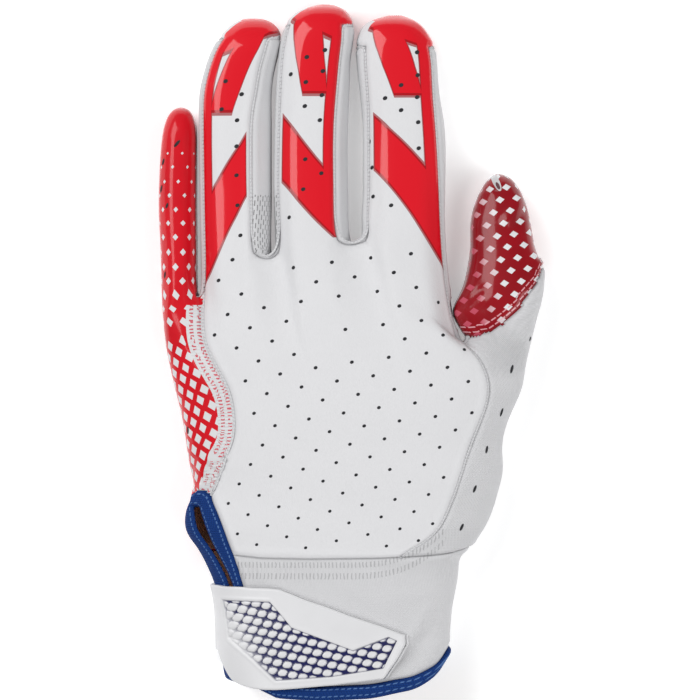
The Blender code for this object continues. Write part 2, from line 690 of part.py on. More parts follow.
def strap_point(reach, y, offset):
    """Point of the strap's sheet at a reach and level, `offset` outside the cuff's cloth."""
    left, right, low, high = wrist_section(y, max(0.0, reach) * STRAP_SPAN)
    left, right = left - offset, right + offset
    low, high = low - offset, high + offset
    mid, half = (left + right) / 2, (right - left) / 2
    turn_top, turn_foot = STRAP_TURN.top, STRAP_TURN.foot
    if reach >= turn_top:
        x = blend(left + turn_start(left, half), left + STRAP_LENGTH,
                  (reach - turn_top) / (1.0 - turn_top))
        return x, float(arch((x - mid) / half, low, high))
    if reach <= turn_foot:
        start = mid - half * STRAP_FOOT
        x = start + (turn_foot - reach) / (1.0 + turn_foot) * STRAP_ROOT * half
        return x, float(underside((x - mid) / half, low, high))
    share = (turn_top - reach) / (turn_top - turn_foot)
    top = angle_of(1.0 - turn_start(left, half) / half, ARCH_POWER)
    foot = -angle_of(STRAP_FOOT, PALM_POWER)
    u, z = side_point(blend(top, foot, share), low, high)
    return mid - half * u, z


def turn_start(left, half):
    """How far in from the outline the strap's turn round the side begins."""
    return STRAP_TURN.width * half


def strap_sheet(offset, low_share, high_share, reaches, strips):
    """Grid of points on the strap's surface between two edges given for each reach."""
    lowest = -PALM_LENGTH - CUFF_LENGTH
    grid = []
    for reach in reaches:
        low = strap_edge("low", reach) if low_share is None else low_share(reach)
        high = strap_edge("high", reach) if high_share is None else high_share(reach)
        line = []
        for strip in range(strips + 1):
            y = blend(low, high, strip / strips) * STRAP_HEIGHT
            x, z = strap_point(reach, y, offset)
            line.append((x, lowest + y, z))
        grid.append(line)
    return grid


def strap_edge(column, reach):
    """Height share of one of the strap's two edges at a reach, straight between stations."""
    return float(np.interp(reach, [s.reach for s in STRAP],
                           [getattr(s, column) for s in STRAP]))


def grid_mesh(name, grid):
    """Open mesh of a grid of points, its faces turned outwards."""
    bm = bmesh.new()
    rows = [[bm.verts.new(p) for p in line] for line in grid]
    for a, b in zip(rows, rows[1:]):
        for i in range(len(a) - 1):
            made = bm.faces.new((a[i], b[i], b[i + 1], a[i + 1]))
            made.smooth = True
    mesh = bpy.data.meshes.new(name)
    bm.to_mesh(mesh)
    bm.free()
    return mesh


def field_limits(reach):
    """Lower and upper edge of the sunken field at a reach: where the line across the
    strap crosses the field's outline."""
    crossings = []
    for a, b in zip(FIELD, FIELD[1:] + FIELD[:1]):
        near, far = sorted((a, b))
        if near.reach <= reach <= far.reach and near.reach < far.reach:
            share = (reach - near.reach) / (far.reach - near.reach)
            crossings.append(blend(near.height, far.height, share))
    return min(crossings), max(crossings)


def build_strap(collection, cutters):
    """The strap with its sunken field cut into the outer face."""
    turn = np.linspace(STRAP_TURN.foot, STRAP_TURN.top, STRAP_TURN.steps + 1).tolist()
    flat = [s.reach for s in STRAP if not STRAP_TURN.foot <= s.reach <= STRAP_TURN.top]
    reaches = sorted(flat + turn)
    grid = strap_sheet(STRAP_CLEARANCE, None, None, reaches, STRAP_STRIPS)
    strap = new_object("strap", grid_mesh("strap", grid), collection)
    wall = strap.modifiers.new("Wall", "SOLIDIFY")
    wall.thickness = STRAP_WALL
    wall.offset = 1.0
    wall.use_even_offset = True

    first, last = min(c.reach for c in FIELD), max(c.reach for c in FIELD)
    inner = {r for r in reaches if first + FIELD_MARGIN < r < last - FIELD_MARGIN}
    inner = sorted(inner | {c.reach for c in FIELD if first < c.reach < last})
    inner = [first + FIELD_END] + inner + [last - FIELD_END]
    floor = STRAP_CLEARANCE + STRAP_WALL - FIELD_DEPTH
    sheet = strap_sheet(floor, lambda r: field_limits(r)[0], lambda r: field_limits(r)[1],
                        inner, STRAP_STRIPS)
    cutter = bpy.data.objects.new("field_cutter", grid_mesh("field_cutter", sheet))
    cutters.objects.link(cutter)
    cutter.display_type = "WIRE"
    cutter.hide_render = True
    thick = cutter.modifiers.new("Depth", "SOLIDIFY")
    thick.thickness = CUTTER_DEPTH
    thick.offset = 1.0
    cut = strap.modifiers.new("Field", "BOOLEAN")
    cut.operation = "DIFFERENCE"
    cut.solver = "EXACT"
    cut.object = cutter
    return strap


def centre_on_rest(pieces, root):
    """Move the parent so that the box round all pieces is centred over the origin, with
    its underside at zero."""
    bpy.context.view_layer.update()
    graph = bpy.context.evaluated_depsgraph_get()
    corners = []
    for piece in pieces:
        evaluated = piece.evaluated_get(graph)
        corners += [tuple(evaluated.matrix_world @ v.co) for v in evaluated.data.vertices]
    corners = np.array(corners)
    low, high = corners.min(axis=0), corners.max(axis=0)
    root.location = (-(low[0] + high[0]) / 2, -(low[1] + high[1]) / 2, -low[2])


def main():
    """Builds the glove in an empty scene."""
    for old in list(bpy.data.objects):
        bpy.data.objects.remove(old, do_unlink=True)
    parts = bpy.data.collections.new("receiver_glove")
    cutters = bpy.data.collections.new("cutters")
    bpy.context.scene.collection.children.link(parts)
    bpy.context.scene.collection.children.link(cutters)

    root = bpy.data.objects.new("glove_origin", None)
    parts.objects.link(root)
    skin = build_skin()
    cloth = wall_skins(skin, PALM_WALL, 1.0)
    tape = wall_skins(skin, BINDING_WALL, PALM_WALL / BINDING_WALL)
    pieces = []
    for name in FINISHES:
        if name != "strap":
            walls = tape if name == "edge_binding" else cloth
            pieces.append(cut_panel(name, skin, walls, parts))
    pieces.append(build_strap(parts, cutters))
    for piece in pieces + list(cutters.objects):
        piece.parent = root
    centre_on_rest(pieces, root)


main()
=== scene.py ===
"""Looks of a left-hand receiver glove that lies palm down, filled out and hollow.

The cloth is one skin of rings that run round the hand and round each digit, refined on smooth
curves and cut into its sewn panels. Strap, piping, seams and air holes are laid on that skin.
Metres, +Z up out of the back of the hand, +Y towards the fingertips, +X towards the thumb.
"""

import math
from collections import namedtuple

import bpy
import numpy as np
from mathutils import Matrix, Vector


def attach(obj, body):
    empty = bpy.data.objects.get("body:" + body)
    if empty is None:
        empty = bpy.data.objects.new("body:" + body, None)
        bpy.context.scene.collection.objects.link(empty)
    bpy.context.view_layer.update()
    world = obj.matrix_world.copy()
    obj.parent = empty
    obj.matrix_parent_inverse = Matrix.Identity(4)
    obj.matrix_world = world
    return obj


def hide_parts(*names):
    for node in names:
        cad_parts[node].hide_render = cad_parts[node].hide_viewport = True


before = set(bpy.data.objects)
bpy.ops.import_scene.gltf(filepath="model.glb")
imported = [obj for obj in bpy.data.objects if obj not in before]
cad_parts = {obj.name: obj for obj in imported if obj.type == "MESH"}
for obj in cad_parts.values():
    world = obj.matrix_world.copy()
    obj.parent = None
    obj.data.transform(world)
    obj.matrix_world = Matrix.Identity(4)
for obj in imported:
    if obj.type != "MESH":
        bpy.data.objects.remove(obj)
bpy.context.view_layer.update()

bl_info = {
    "name": "Receiver glove",
    "version": (1, 0, 0),
    "blender": (4, 5, 0),
    "location": "View3D > Sidebar > Glove",
    "description": "Builds the panels, strap, piping, seams and air holes of a receiver glove",
    "category": "Object",
}

BODY = "root"

# Where the tables' zero lies in the frame: the hand's left side at the height of the web
# between ring and middle finger

ORIGIN = (-0.0659, 0.03384, 0.0)

# Driving sizes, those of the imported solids

CUFF_LENGTH = 0.0484
PALM_LENGTH = 0.1055
HAND_DEPTH = 0.034
FINGER_DEPTH = 0.0215
STRAP_WALL = 0.0017
STRAP_CLEARANCE = 0.0010
STRAP_LENGTH = 0.0650
STRAP_HEIGHT = 0.0350
FIELD_DEPTH = 0.0005

# Form of the rings, and the faces in them

ARCH_POWER = 2.5           # power of the upper curve; a circle's is 2
PALM_POWER = 4.0           # power of the lower curve
WAIST = 0.44               # height of the widest place, of the thickness
PALM_SEAM = 0.80           # where a digit's palm ends, of its half breadth
PALM_EDGE = 0.16           # how far in the hand's palm ends, of HAND_DEPTH
PALM_FLAT = 1.12           # scale of the lower curve before it is cut off flat
SIDE_STEPS = 4             # faces down each side
TIP_ROWS = 3               # rows of a digit's tip that have no side wall
WEB_ROWS = 2               # rows of the thumb's foot that belong to the web
SLANT_FADE = 0.55          # share of a digit over which its root line's slant fades
FADE_POWER = 1.6           # power of that fading
SLIT_TOP_ROW = 8           # hand row at which the slit's tape begins

# Sections of the digits. along: share of the digit's length from its root. left and right:
# its two sides, as shares of its width from the left side of its root. seam_left and
# seam_right: how far in from those sides the back's edge lies, as shares of the width.
# deep: thickness as a share of FINGER_DEPTH. lift: underside above the rest, same share.

Section = namedtuple("Section", "along left right seam_left seam_right deep lift")

LITTLE_SECTIONS = [
    Section(0.00, 0.00, 1.00, 0.10, 0.10, 0.97, 0.00),
    Section(0.22, -0.03, 0.98, 0.10, 0.10, 0.92, 0.00),
    Section(0.42, -0.08, 0.97, 0.10, 0.10, 0.86, 0.00),
    Section(0.60, -0.07, 0.97, 0.10, 0.10, 0.82, 0.00),
    Section(0.76, -0.03, 0.97, 0.10, 0.10, 0.79, 0.00),
    Section(0.87, 0.04, 0.96, 0.10, 0.10, 0.75, 0.02),
    Section(0.94, 0.15, 0.89, 0.09, 0.09, 0.62, 0.06),
    Section(0.98, 0.30, 0.77, 0.07, 0.07, 0.42, 0.13),
    Section(1.00, 0.53, 0.53, 0.00, 0.00, 0.00, 0.26),
]
RING_SECTIONS = [
    Section(0.00, 0.00, 1.00, 0.05, 0.24, 1.04, 0.00),
    Section(0.20, -0.01, 1.00, 0.05, 0.27, 0.98, 0.00),
    Section(0.36, -0.02, 1.00, 0.05, 0.28, 0.92, 0.00),
    Section(0.50, -0.03, 1.00, 0.05, 0.28, 0.88, 0.00),
    Section(0.61, -0.03, 1.00, 0.05, 0.27, 0.86, 0.00),
    Section(0.70, -0.02, 1.00, 0.05, 0.21, 0.85, 0.00),
    Section(0.79, 0.05, 1.04, 0.05, 0.20, 0.84, 0.00),
    Section(0.87, 0.15, 1.11, 0.05, 0.19, 0.80, 0.02),
    Section(0.92, 0.26, 1.13, 0.05, 0.17, 0.72, 0.05),
    Section(0.96, 0.38, 1.09, 0.05, 0.12, 0.58, 0.09),
    Section(0.99, 0.54, 0.95, 0.04, 0.05, 0.34, 0.16),
    Section(1.00, 0.73, 0.73, 0.00, 0.00, 0.00, 0.28),
]
MIDDLE_SECTIONS = [
    Section(0.00, 0.00, 1.00, 0.05, 0.16, 1.08, 0.00),
    Section(0.19, -0.01, 0.97, 0.05, 0.17, 1.00, 0.00),
    Section(0.36, -0.01, 0.96, 0.05, 0.17, 0.94, 0.00),
    Section(0.52, 0.00, 0.97, 0.05, 0.17, 0.90, 0.00),
    Section(0.67, 0.02, 0.99, 0.05, 0.15, 0.88, 0.00),
    Section(0.77, 0.04, 1.00, 0.05, 0.13, 0.86, 0.00),
    Section(0.85, 0.08, 1.04, 0.05, 0.14, 0.83, 0.01),
    Section(0.91, 0.14, 1.04, 0.05, 0.14, 0.76, 0.04),
    Section(0.95, 0.23, 0.99, 0.05, 0.10, 0.64, 0.08),
    Section(0.98, 0.39, 0.89, 0.04, 0.06, 0.44, 0.13),
    Section(1.00, 0.67, 0.67, 0.00, 0.00, 0.00, 0.27),
]
INDEX_SECTIONS = [
    Section(0.00, -0.01, 1.125, 0.06, 0.03, 1.10, 0.00),
    Section(0.12, 0.005, 1.02, 0.06, 0.04, 1.02, 0.00),
    Section(0.25, 0.02, 0.97, 0.06, 0.04, 0.97, 0.00),
    Section(0.39, 0.02, 0.975, 0.06, 0.07, 0.93, 0.00),
    Section(0.55, 0.02, 0.97, 0.06, 0.10, 0.90, 0.00),
    Section(0.68, -0.01, 0.91, 0.08, 0.07, 0.88, 0.00),
    Section(0.79, -0.045, 0.885, 0.09, 0.06, 0.86, 0.00),
    Section(0.87, -0.055, 0.85, 0.10, 0.06, 0.82, 0.01),
    Section(0.93, -0.015, 0.765, 0.09, 0.06, 0.73, 0.04),
    Section(0.97, 0.09, 0.65, 0.07, 0.05, 0.54, 0.10),
    Section(1.00, 0.40, 0.40, 0.00, 0.00, 0.00, 0.27),
]
THUMB_SECTIONS = [
    Section(0.00, 0.15, 1.065, 0.05, 0.10, 1.12, 0.00),
    Section(0.20, 0.14, 1.01, 0.07, 0.10, 1.08, 0.00),
    Section(0.38, 0.20, 0.96, 0.08, 0.10, 1.02, 0.00),
    Section(0.54, 0.205, 0.925, 0.08, 0.10, 0.95, 0.00),
    Section(0.68, 0.225, 0.885, 0.08, 0.10, 0.89, 0.00),
    Section(0.80, 0.28, 0.83, 0.08, 0.10, 0.82, 0.01),
    Section(0.90, 0.355, 0.755, 0.07, 0.08, 0.70, 0.04),
    Section(0.97, 0.44, 0.66, 0.04, 0.04, 0.46, 0.11),
    Section(1.00, 0.535, 0.535, 0.00, 0.00, 0.00, 0.24),
]

# The digits from the little finger to the thumb. root: its root line above or below the web,
# as a share of PALM_LENGTH. rise_left and rise_right: how far the line's two ends stand above
# that, same share. strips: faces across the back.

Digit = namedtuple("Digit", "width length gap root rise_left rise_right strips sections")

DIGITS = [
    Digit(0.0126, 0.0637, 0.0011, -0.125, 0.00, 0.00, 4, LITTLE_SECTIONS),
    Digit(0.0245, 0.0875, 0.0011, -0.06, -0.06, 0.06, 5, RING_SECTIONS),
    Digit(0.0263, 0.0841, 0.0036, 0.02, -0.02, 0.02, 5, MIDDLE_SECTIONS),
    Digit(0.0301, 0.0889, 0.0016, -0.06, 0.10, -0.21, 5, INDEX_SECTIONS),
    Digit(0.0300, 0.0443, 0.0, -0.16, -0.115, 0.115, 4, THUMB_SECTIONS),
]
LITTLE, INDEX, THUMB = 0, 3, 4

# Sections of the hand and wrist. drop: below the web, as a share of PALM_LENGTH, and below 1
# of CUFF_LENGTH. The other columns are shares of the hand's breadth from its left side. deep
# and lift are shares of HAND_DEPTH. slant: how much of the root line's slant and of the
# digits' arches is left. tail: how much of the hem's rise shows.

Row = namedtuple(
    "Row", "drop left slit_left slit_right seam_left seam_right right deep lift slant tail")

HAND_ROWS = [
    Row(0.10, 0.005, 0.132, 0.144, 0.199, 1.047, 1.333, 0.74, 0.00, 0.72, 0.00),
    Row(0.19, 0.010, 0.135, 0.147, 0.203, 1.076, 1.312, 0.79, 0.00, 0.46, 0.00),
    Row(0.28, 0.018, 0.148, 0.160, 0.216, 1.109, 1.291, 0.82, 0.00, 0.26, 0.00),
    Row(0.37, 0.033, 0.187, 0.200, 0.253, 1.133, 1.270, 0.84, 0.00, 0.12, 0.00),
    Row(0.45, 0.050, 0.226, 0.239, 0.290, 1.140, 1.256, 0.85, 0.00, 0.04, 0.00),
    Row(0.54, 0.072, 0.243, 0.256, 0.305, 1.116, 1.215, 0.86, 0.00, 0.00, 0.00),
    Row(0.63, 0.088, 0.233, 0.247, 0.293, 1.078, 1.190, 0.86, 0.00, 0.00, 0.00),
    Row(0.71, 0.102, 0.180, 0.194, 0.238, 1.050, 1.192, 0.87, 0.00, 0.00, 0.00),
    Row(0.78, 0.112, 0.122, 0.135, 0.180, 1.026, 1.176, 0.87, 0.00, 0.00, 0.00),
    Row(0.84, 0.096, 0.116, 0.136, 0.195, 1.000, 1.158, 0.87, 0.00, 0.00, 0.00),
    Row(0.91, 0.094, 0.128, 0.160, 0.222, 0.964, 1.132, 0.88, 0.00, 0.00, 0.10),
    Row(0.96, 0.122, 0.160, 0.180, 0.240, 0.900, 1.106, 0.88, 0.01, 0.00, 0.18),
]
CUFF_ROWS = [
    Row(0.00, 0.147, 0.186, 0.200, 0.256, 0.830, 1.081, 0.89, 0.03, 0.00, 0.25),
    Row(0.09, 0.168, 0.210, 0.222, 0.270, 0.815, 1.044, 0.90, 0.06, 0.00, 0.30),
    Row(0.24, 0.196, 0.240, 0.252, 0.290, 0.815, 1.036, 0.91, 0.09, 0.00, 0.40),
    Row(0.42, 0.212, 0.250, 0.262, 0.305, 0.818, 1.024, 0.93, 0.09, 0.00, 0.55),
    Row(0.62, 0.216, 0.252, 0.264, 0.310, 0.822, 1.012, 0.95, 0.09, 0.00, 0.70),
    Row(0.90, 0.226, 0.262, 0.274, 0.318, 0.828, 1.004, 0.98, 0.09, 0.00, 0.90),
    Row(1.00, 0.240, 0.276, 0.288, 0.330, 0.834, 1.000, 1.00, 0.09, 0.00, 1.00),
]

# The hem's height over its lowest point, as a share of CUFF_LENGTH, at shares of the breadth

HemPoint = namedtuple("HemPoint", "across rise")

HEM = [
    HemPoint(0.00, 0.13),
    HemPoint(0.12, 0.09),
    HemPoint(0.22, 0.02),
    HemPoint(0.40, 0.00),
    HemPoint(0.65, 0.02),
    HemPoint(0.84, 0.08),
    HemPoint(0.94, 0.16),
    HemPoint(1.00, 0.30),
]

# The strap from its root on the palm side to its tip. low and high: shares of STRAP_HEIGHT.

StrapStation = namedtuple("StrapStation", "reach low high")

STRAP = [
    StrapStation(-1.00, 0.52, 1.02),
    StrapStation(-0.60, 0.48, 1.08),
    StrapStation(-0.30, 0.48, 1.10),
    StrapStation(-0.15, 0.48, 1.12),
    StrapStation(0.00, 0.48, 1.12),
    StrapStation(0.05, 0.32, 1.12),
    StrapStation(0.08, 0.19, 1.11),
    StrapStation(0.12, 0.15, 1.11),
    StrapStation(0.18, 0.12, 1.11),
    StrapStation(0.24, 0.11, 1.10),
    StrapStation(0.31, 0.11, 1.10),
    StrapStation(0.38, 0.12, 1.09),
    StrapStation(0.50, 0.14, 0.99),
    StrapStation(0.62, 0.16, 0.91),
    StrapStation(0.71, 0.18, 0.84),
    StrapStation(0.80, 0.20, 0.78),
    StrapStation(0.88, 0.22, 0.73),
    StrapStation(0.96, 0.42, 0.67),
    StrapStation(1.00, 0.56, 0.645),
]

# The strap's turn round the wrist's side. top and foot: reach at its two ends; width: how far
# in it begins, of half the cuff's breadth.

StrapTurn = namedtuple("StrapTurn", "top foot width")
STRAP_TURN = StrapTurn(0.12, -0.30, 0.16)
STRAP_FOOT = 0.80          # where the turn meets the underside, of half the cuff's breadth
STRAP_ROOT = 0.34          # how far the root goes on from there, same share
STRAP_SPAN = 0.75          # share of the cuff's breadth that the strap spans
LEVEL_STEPS = 4            # rounds that find a level's ring

# Corners of the strap's sunken field, as shares of STRAP_LENGTH and STRAP_HEIGHT

FieldCorner = namedtuple("FieldCorner", "reach height")

FIELD = [
    FieldCorner(0.07, 0.98),
    FieldCorner(0.32, 0.97),
    FieldCorner(0.42, 0.72),
    FieldCorner(0.735, 0.50),
    FieldCorner(0.92, 0.63),
    FieldCorner(0.965, 0.59),
    FieldCorner(0.89, 0.32),
    FieldCorner(0.62, 0.24),
    FieldCorner(0.33, 0.20),
    FieldCorner(0.22, 0.40),
    FieldCorner(0.09, 0.60),
]

# Panels of the skin, by number

PANELS = ["back_panel", "palm_panel", "thumb_shell", "thumb_gusset", "side_little_ring",
          "side_ring_middle", "side_middle_index", "side_index_thumb", "cuff",
          "edge_binding"]
BACK, PALM, SHELL, GUSSET, SIDE_FIRST, CUFF, TAPE = 0, 1, 2, 3, 4, 8, 9
OPEN = -1

# Places read from the object, in units of PITCH right of and up from the frame's origin.
# Each small repeat below is charted in them.

PITCH = 0.000346

# Air holes in the back of each finger, and one start point and two steps for the rest

FINGER_HOLES = [
    (-125.5, 268), (-109.5, 255), (-129.5, 240), (-114, 229), (-114.5, 203), (-114.5, 174),
    (-113.5, 144), (-110.5, 114), (-26.5, 299), (-44.5, 292), (-28.5, 278), (-60.5, 275),
    (-45.5, 267), (-29.5, 254), (-46.5, 243), (-31.5, 229), (65.5, 297), (66, 274),
    (49.5, 264), (33.5, 251), (65.5, 252), (49.5, 239), (66.5, 227), (67, 201), (18.5, 208),
    (20.5, 182), (21.5, 153), (39.5, 144), (-46, 190), (-30, 176), (-48, 160), (-62, 132),
]
HoleGrid = namedtuple("HoleGrid", "start across down bend_both bend_across bend_down")
HOLE_GRID = HoleGrid((-91.5, -144.1), (19.70, -11.23), (-11.29, -19.05), (-0.223, 0.324),
                     (-0.139, 0.008), (0.262, -0.027))
HOLE_COLUMNS = (-8, 13)
HOLE_ROWS = (-15, 5)
HOLE_SCALE = 1.1           # times the set radius, at the height of the frame's origin
HOLE_GROWTH = 0.4          # metres up the hand over which a hole gains its own radius
HOLE_STRETCH = 1.25        # length of a hole over its breadth
HOLE_TURN = 0.5            # radians from +X to the long way of a hole
HOLE_FLOOR = -199          # no holes of the grid below this height
HOLE_TOP = 100             # and none of them above this one
HOLE_EDGE = 0.0030         # nearest hole to the back panel's edge
HOLE_MISS = 0.0006         # farthest a hole may lie beside the back panel

# Slits that let air through the grip cloth and the gusset. turn: degrees from +X.

Vent = namedtuple("Vent", "x y length turn")
VENTS = [
    Vent(-174, 206, 9, 50), Vent(-188, 188, 7, 60), Vent(-190, 161, 8, 62),
    Vent(-184, 144, 6, 60), Vent(-186, 75, 7, 70), Vent(-163, -80, 8, 75),
    Vent(178, 11, 5, 70), Vent(159.5, -19, 9, 78), Vent(149.5, -62, 9, 76),
    Vent(134.5, -99, 8, 72), Vent(122.5, -138, 8, 68), Vent(109.5, -176, 8, 62),
]

# Soft folds pressed into the cloth or raised from it: a line, its half width and its height,
# all in PITCH units but the height, which is in millimetres

Fold = namedtuple("Fold", "x0 y0 x1 y1 half height")
FOLDS = [
    Fold(40, -318, 88, -268, 5, -0.8), Fold(48, -300, 80, -250, 5, 0.7),
    Fold(62, -318, 96, -284, 6, 0.7), Fold(20, -248, 90, -240, 6, 0.4),
    Fold(-40, -214, 80, -222, 7, -0.35), Fold(-20, -232, 60, -262, 8, 0.35),
    Fold(134, 62, 112, 40, 4, -0.7), Fold(150, 120, 171, 156, 5, 0.8),
    Fold(158, 112, 180, 148, 4, -0.7), Fold(114, 56, 146, 48, 4, 0.6),
    Fold(136, -40, 128, -120, 7, 0.5), Fold(146, -82, 150, -110, 6, 0.5),
    Fold(100, -204, 112, -214, 5, -0.7), Fold(-178, -40, -166, -110, 6, -0.3),
    Fold(-156, -104, -162, -128, 5, -0.5), Fold(90, 10, 118, -20, 9, -0.4),
    Fold(-110, 70, -90, 96, 9, -0.4), Fold(-8, 92, 4, 110, 8, -0.3),
    Fold(144, 172, 146, 158, 4, -1.0),
]

# Where panels end, in PITCH units. The tape's upper end is half an ellipse over a centre, and
# the hand's outer seam runs on from there as a slanting line.

Cap = namedtuple("Cap", "x y half_width half_height")
TAPE_CAP = Cap(-150, -165, 17, 25)
TapeSplit = namedtuple("TapeSplit", "x y slope")
TAPE_SPLIT = TapeSplit(-137.9, -141, 0.417)    # where grip cloth meets the back over the tape
SEAM_END_TOP = -110        # height up to which that line holds
SEAM_END_HALF = 8          # how far beside it panels are changed
SEAM_END_FLOOR = 20        # and from which height over the floor
TapeSide = namedtuple("TapeSide", "right top low rise_from rise most")
TAPE_SIDE = TapeSide(-118, -148, 26, -178, 0.7, 24)    # the tape's outer side, over a ramp
LITTLE_INNER = -153.8      # the little finger's inner side lies left of this
LITTLE_FLOOR = 13          # and over this
SHELL_FLOOR = 15           # grip cloth covers the thumb's foot over this
SHELL_FOOT = [(112, 100), (100, 45), (104, 28), (110, 17), (123, 13), (138, 18), (150, 25),
              (162, 36), (172, 48), (183, 64), (194, 86)]
Bulge = namedtuple("Bulge", "x y half_width half_height reach")
SHELL_BULGE = Bulge(114, 38, 17, 19, 12)    # the thumb's foot leans over to the index finger
SLIT_TOP = -157            # no opening above this height

# Band of white cover stitches on the grip cloth, beside the hand's outer seam

ZONE_TOP = 0.0155          # its upper end, along the hand
ZONE_REACH = 0.009         # how far from the seam distances are kept
ZONE_WIDTH = 0.0058

LATTICE_CHANGE = -0.0297   # the grip cloth's lattice is closer below this height

# Gathers: the ruched band over the cuff's seam

Band = namedtuple("Band", "low high period height")
GATHERS = Band(-238, -206, 4.6, 0.17)

# The thumb's print turns down its sides from THUMB_MIDDLE, below THUMB_TOP. THUMB_FOLD is the
# middle of the small fold at its tip.

THUMB_MIDDLE = 0.0515
THUMB_TOP = 0.015
THUMB_FOLD = (0.0500, 0.0582)

# Rows of stitches along the border of two panels. aside: from it into the first panel;
# above: over the cloth; turn: degrees from the seam to the stitch.

StitchRow = namedtuple("StitchRow", "one other pitch aside above length turn")
STITCH_ROWS = [
    *(StitchRow(BACK, SIDE_FIRST + i, 0.0013, 0.0, 0.00048, 0.0011, 75) for i in range(4)),
    StitchRow(BACK, GUSSET, 0.0011, 0.0, 0.00048, 0.0016, 60),
    StitchRow(BACK, CUFF, 0.0023, 0.0016, 0.00010, 0.0014, 80),
    StitchRow(BACK, CUFF, 0.0023, -0.0016, 0.00010, 0.0014, 80),
    StitchRow(BACK, CUFF, 0.0023, -0.0052, 0.00010, 0.0014, 80),
    StitchRow(SHELL, GUSSET, 0.0021, 0.0014, 0.00012, 0.0015, 0),
    StitchRow(SHELL, GUSSET, 0.0021, 0.0030, 0.00012, 0.0015, 0),
    StitchRow(BACK, PALM, 0.0013, 0.0, 0.00048, 0.0012, 70),
]

# Printed wedges on the three middle fingers. Each shape is where all its lines are positive.
# A line is offset + by_w * w + by_along * along, with w from 0 at the finger's inner side to
# 1 at its outer, and along from 0 at its root to 1 at its tip.

Line = namedtuple("Line", "offset by_w by_along")
WEDGE_FOOT = 0.15          # where they begin on the index finger, of its length
WEDGES = [
    [Line(-0.80, 1.0, 0.0), Line(-0.30, 0.30, 1.0)],
    [Line(-0.93, 0.10, 1.0)],
    [Line(-0.62, 0.0, 1.0), Line(-1.02, 1.0, 1.0), Line(1.30, -1.0, -0.75)],
    [Line(0.56, -0.30, -1.0), Line(-0.30, 0.30, 1.0), Line(-0.10, 1.0, 0.0)],
]


def blend(a, b, share):
    """Straight mix: a times what is left of the share, plus b times the share."""
    return a * (1.0 - share) + b * share


def fade(value, low, high):
    """Smooth step from 0 at low to 1 at high: 3t^2 - 2t^3."""
    t = np.clip((value - low) / (high - low), 0.0, 1.0)
    return t * t * (3.0 - 2.0 * t)


def read(table):
    """One row whose named columns are whole arrays."""
    return type(table[0])(*np.array(table, float).T)


def column(values):
    """An array as one upright column, so that it meets a ring's places."""
    return np.asarray(values, float)[:, None]


def smooth_read(rows, name, at):
    """A table's column at `at`, on cubics through its rows; the slope at a row is the
    gradient there."""
    knots, values = read(rows)[0], getattr(read(rows), name)
    slopes = np.gradient(values, knots)
    at = np.clip(at, knots[0], knots[-1])
    i = np.clip(np.searchsorted(knots, at, side="right") - 1, 0, len(knots) - 2)
    span = knots[i + 1] - knots[i]
    t = (at - knots[i]) / span
    return ((2 * t**3 - 3 * t**2 + 1) * values[i] + (t**3 - 2 * t**2 + t) * span * slopes[i]
            + (3 * t**2 - 2 * t**3) * values[i + 1] + (t**3 - t**2) * span * slopes[i + 1])


# ---- The skin's rings


def root_lefts():
    """Left side of each digit's root: the widths and gaps before it, added up."""
    steps = [d.width + d.gap for d in DIGITS]
    return np.concatenate([[0.0], np.cumsum(steps)[:-1]])


def hand_breadth():
    """Breadth over the four knuckles."""
    return root_lefts()[INDEX] + DIGITS[INDEX].width


def arch(u, low, high):
    """Upper side: waist + rise * (1 - |u|^p)^(1/p), p = ARCH_POWER."""
    waist = blend(low, high, WAIST)
    u = np.clip(u, -1.0, 1.0)
    return waist + (high - waist) * (1.0 - np.abs(u) ** ARCH_POWER) ** (1.0 / ARCH_POWER)


def underside(u, low, high):
    """Lower side: the same curve downwards with PALM_POWER, cut off flat at low."""
    waist = blend(low, high, WAIST)
    u = np.clip(u, -1.0, 1.0)
    drop = (1.0 - np.abs(u) ** PALM_POWER) ** (1.0 / PALM_POWER)
    return np.maximum(low, waist - (waist - low) * drop * PALM_FLAT)


def angle_of(u, power):
    """Angle whose cosine to the power 2/p is u."""
    return np.arccos(np.clip(u, 0.0, 1.0) ** (power / 2.0))


def side_point(angle, low, high):
    """u = cos^(2/p) of the angle and its height, above the waist or below it."""
    power = np.where(angle >= 0, ARCH_POWER, PALM_POWER)
    u = np.cos(angle) ** (2.0 / power)
    waist = blend(low, high, WAIST)
    above = waist + (high - waist) * np.sin(np.maximum(angle, 0.0)) ** (2.0 / ARCH_POWER)
    return u, np.where(angle >= 0, above, underside(u, low, high))


def section_rings(left, right, back_x, shares, low, high):
    """Closed rings: the back at back_x, the right side down, the palm from right to left
    and the left side up, the sides at even angles."""
    mid, half = (left + right) / 2, (right - left) / 2
    back_u = (back_x - mid) / half
    steps = np.arange(1, SIDE_STEPS) / SIDE_STEPS
    foot = -angle_of(PALM_SEAM, PALM_POWER)
    down = blend(angle_of(back_u[:, -1:], ARCH_POWER), foot, steps)
    up = blend(foot, angle_of(-back_u[:, :1], ARCH_POWER), steps)
    palm_u = blend(-PALM_SEAM, PALM_SEAM, shares[::-1]) + 0 * mid
    right_u, right_z = side_point(down, low, high)
    left_u, left_z = side_point(up, low, high)
    u = np.hstack([back_u, right_u, palm_u, -left_u])
    z = np.hstack([arch(back_u, low, high), right_z, underside(palm_u, low, high), left_z])
    return mid + half * u, z


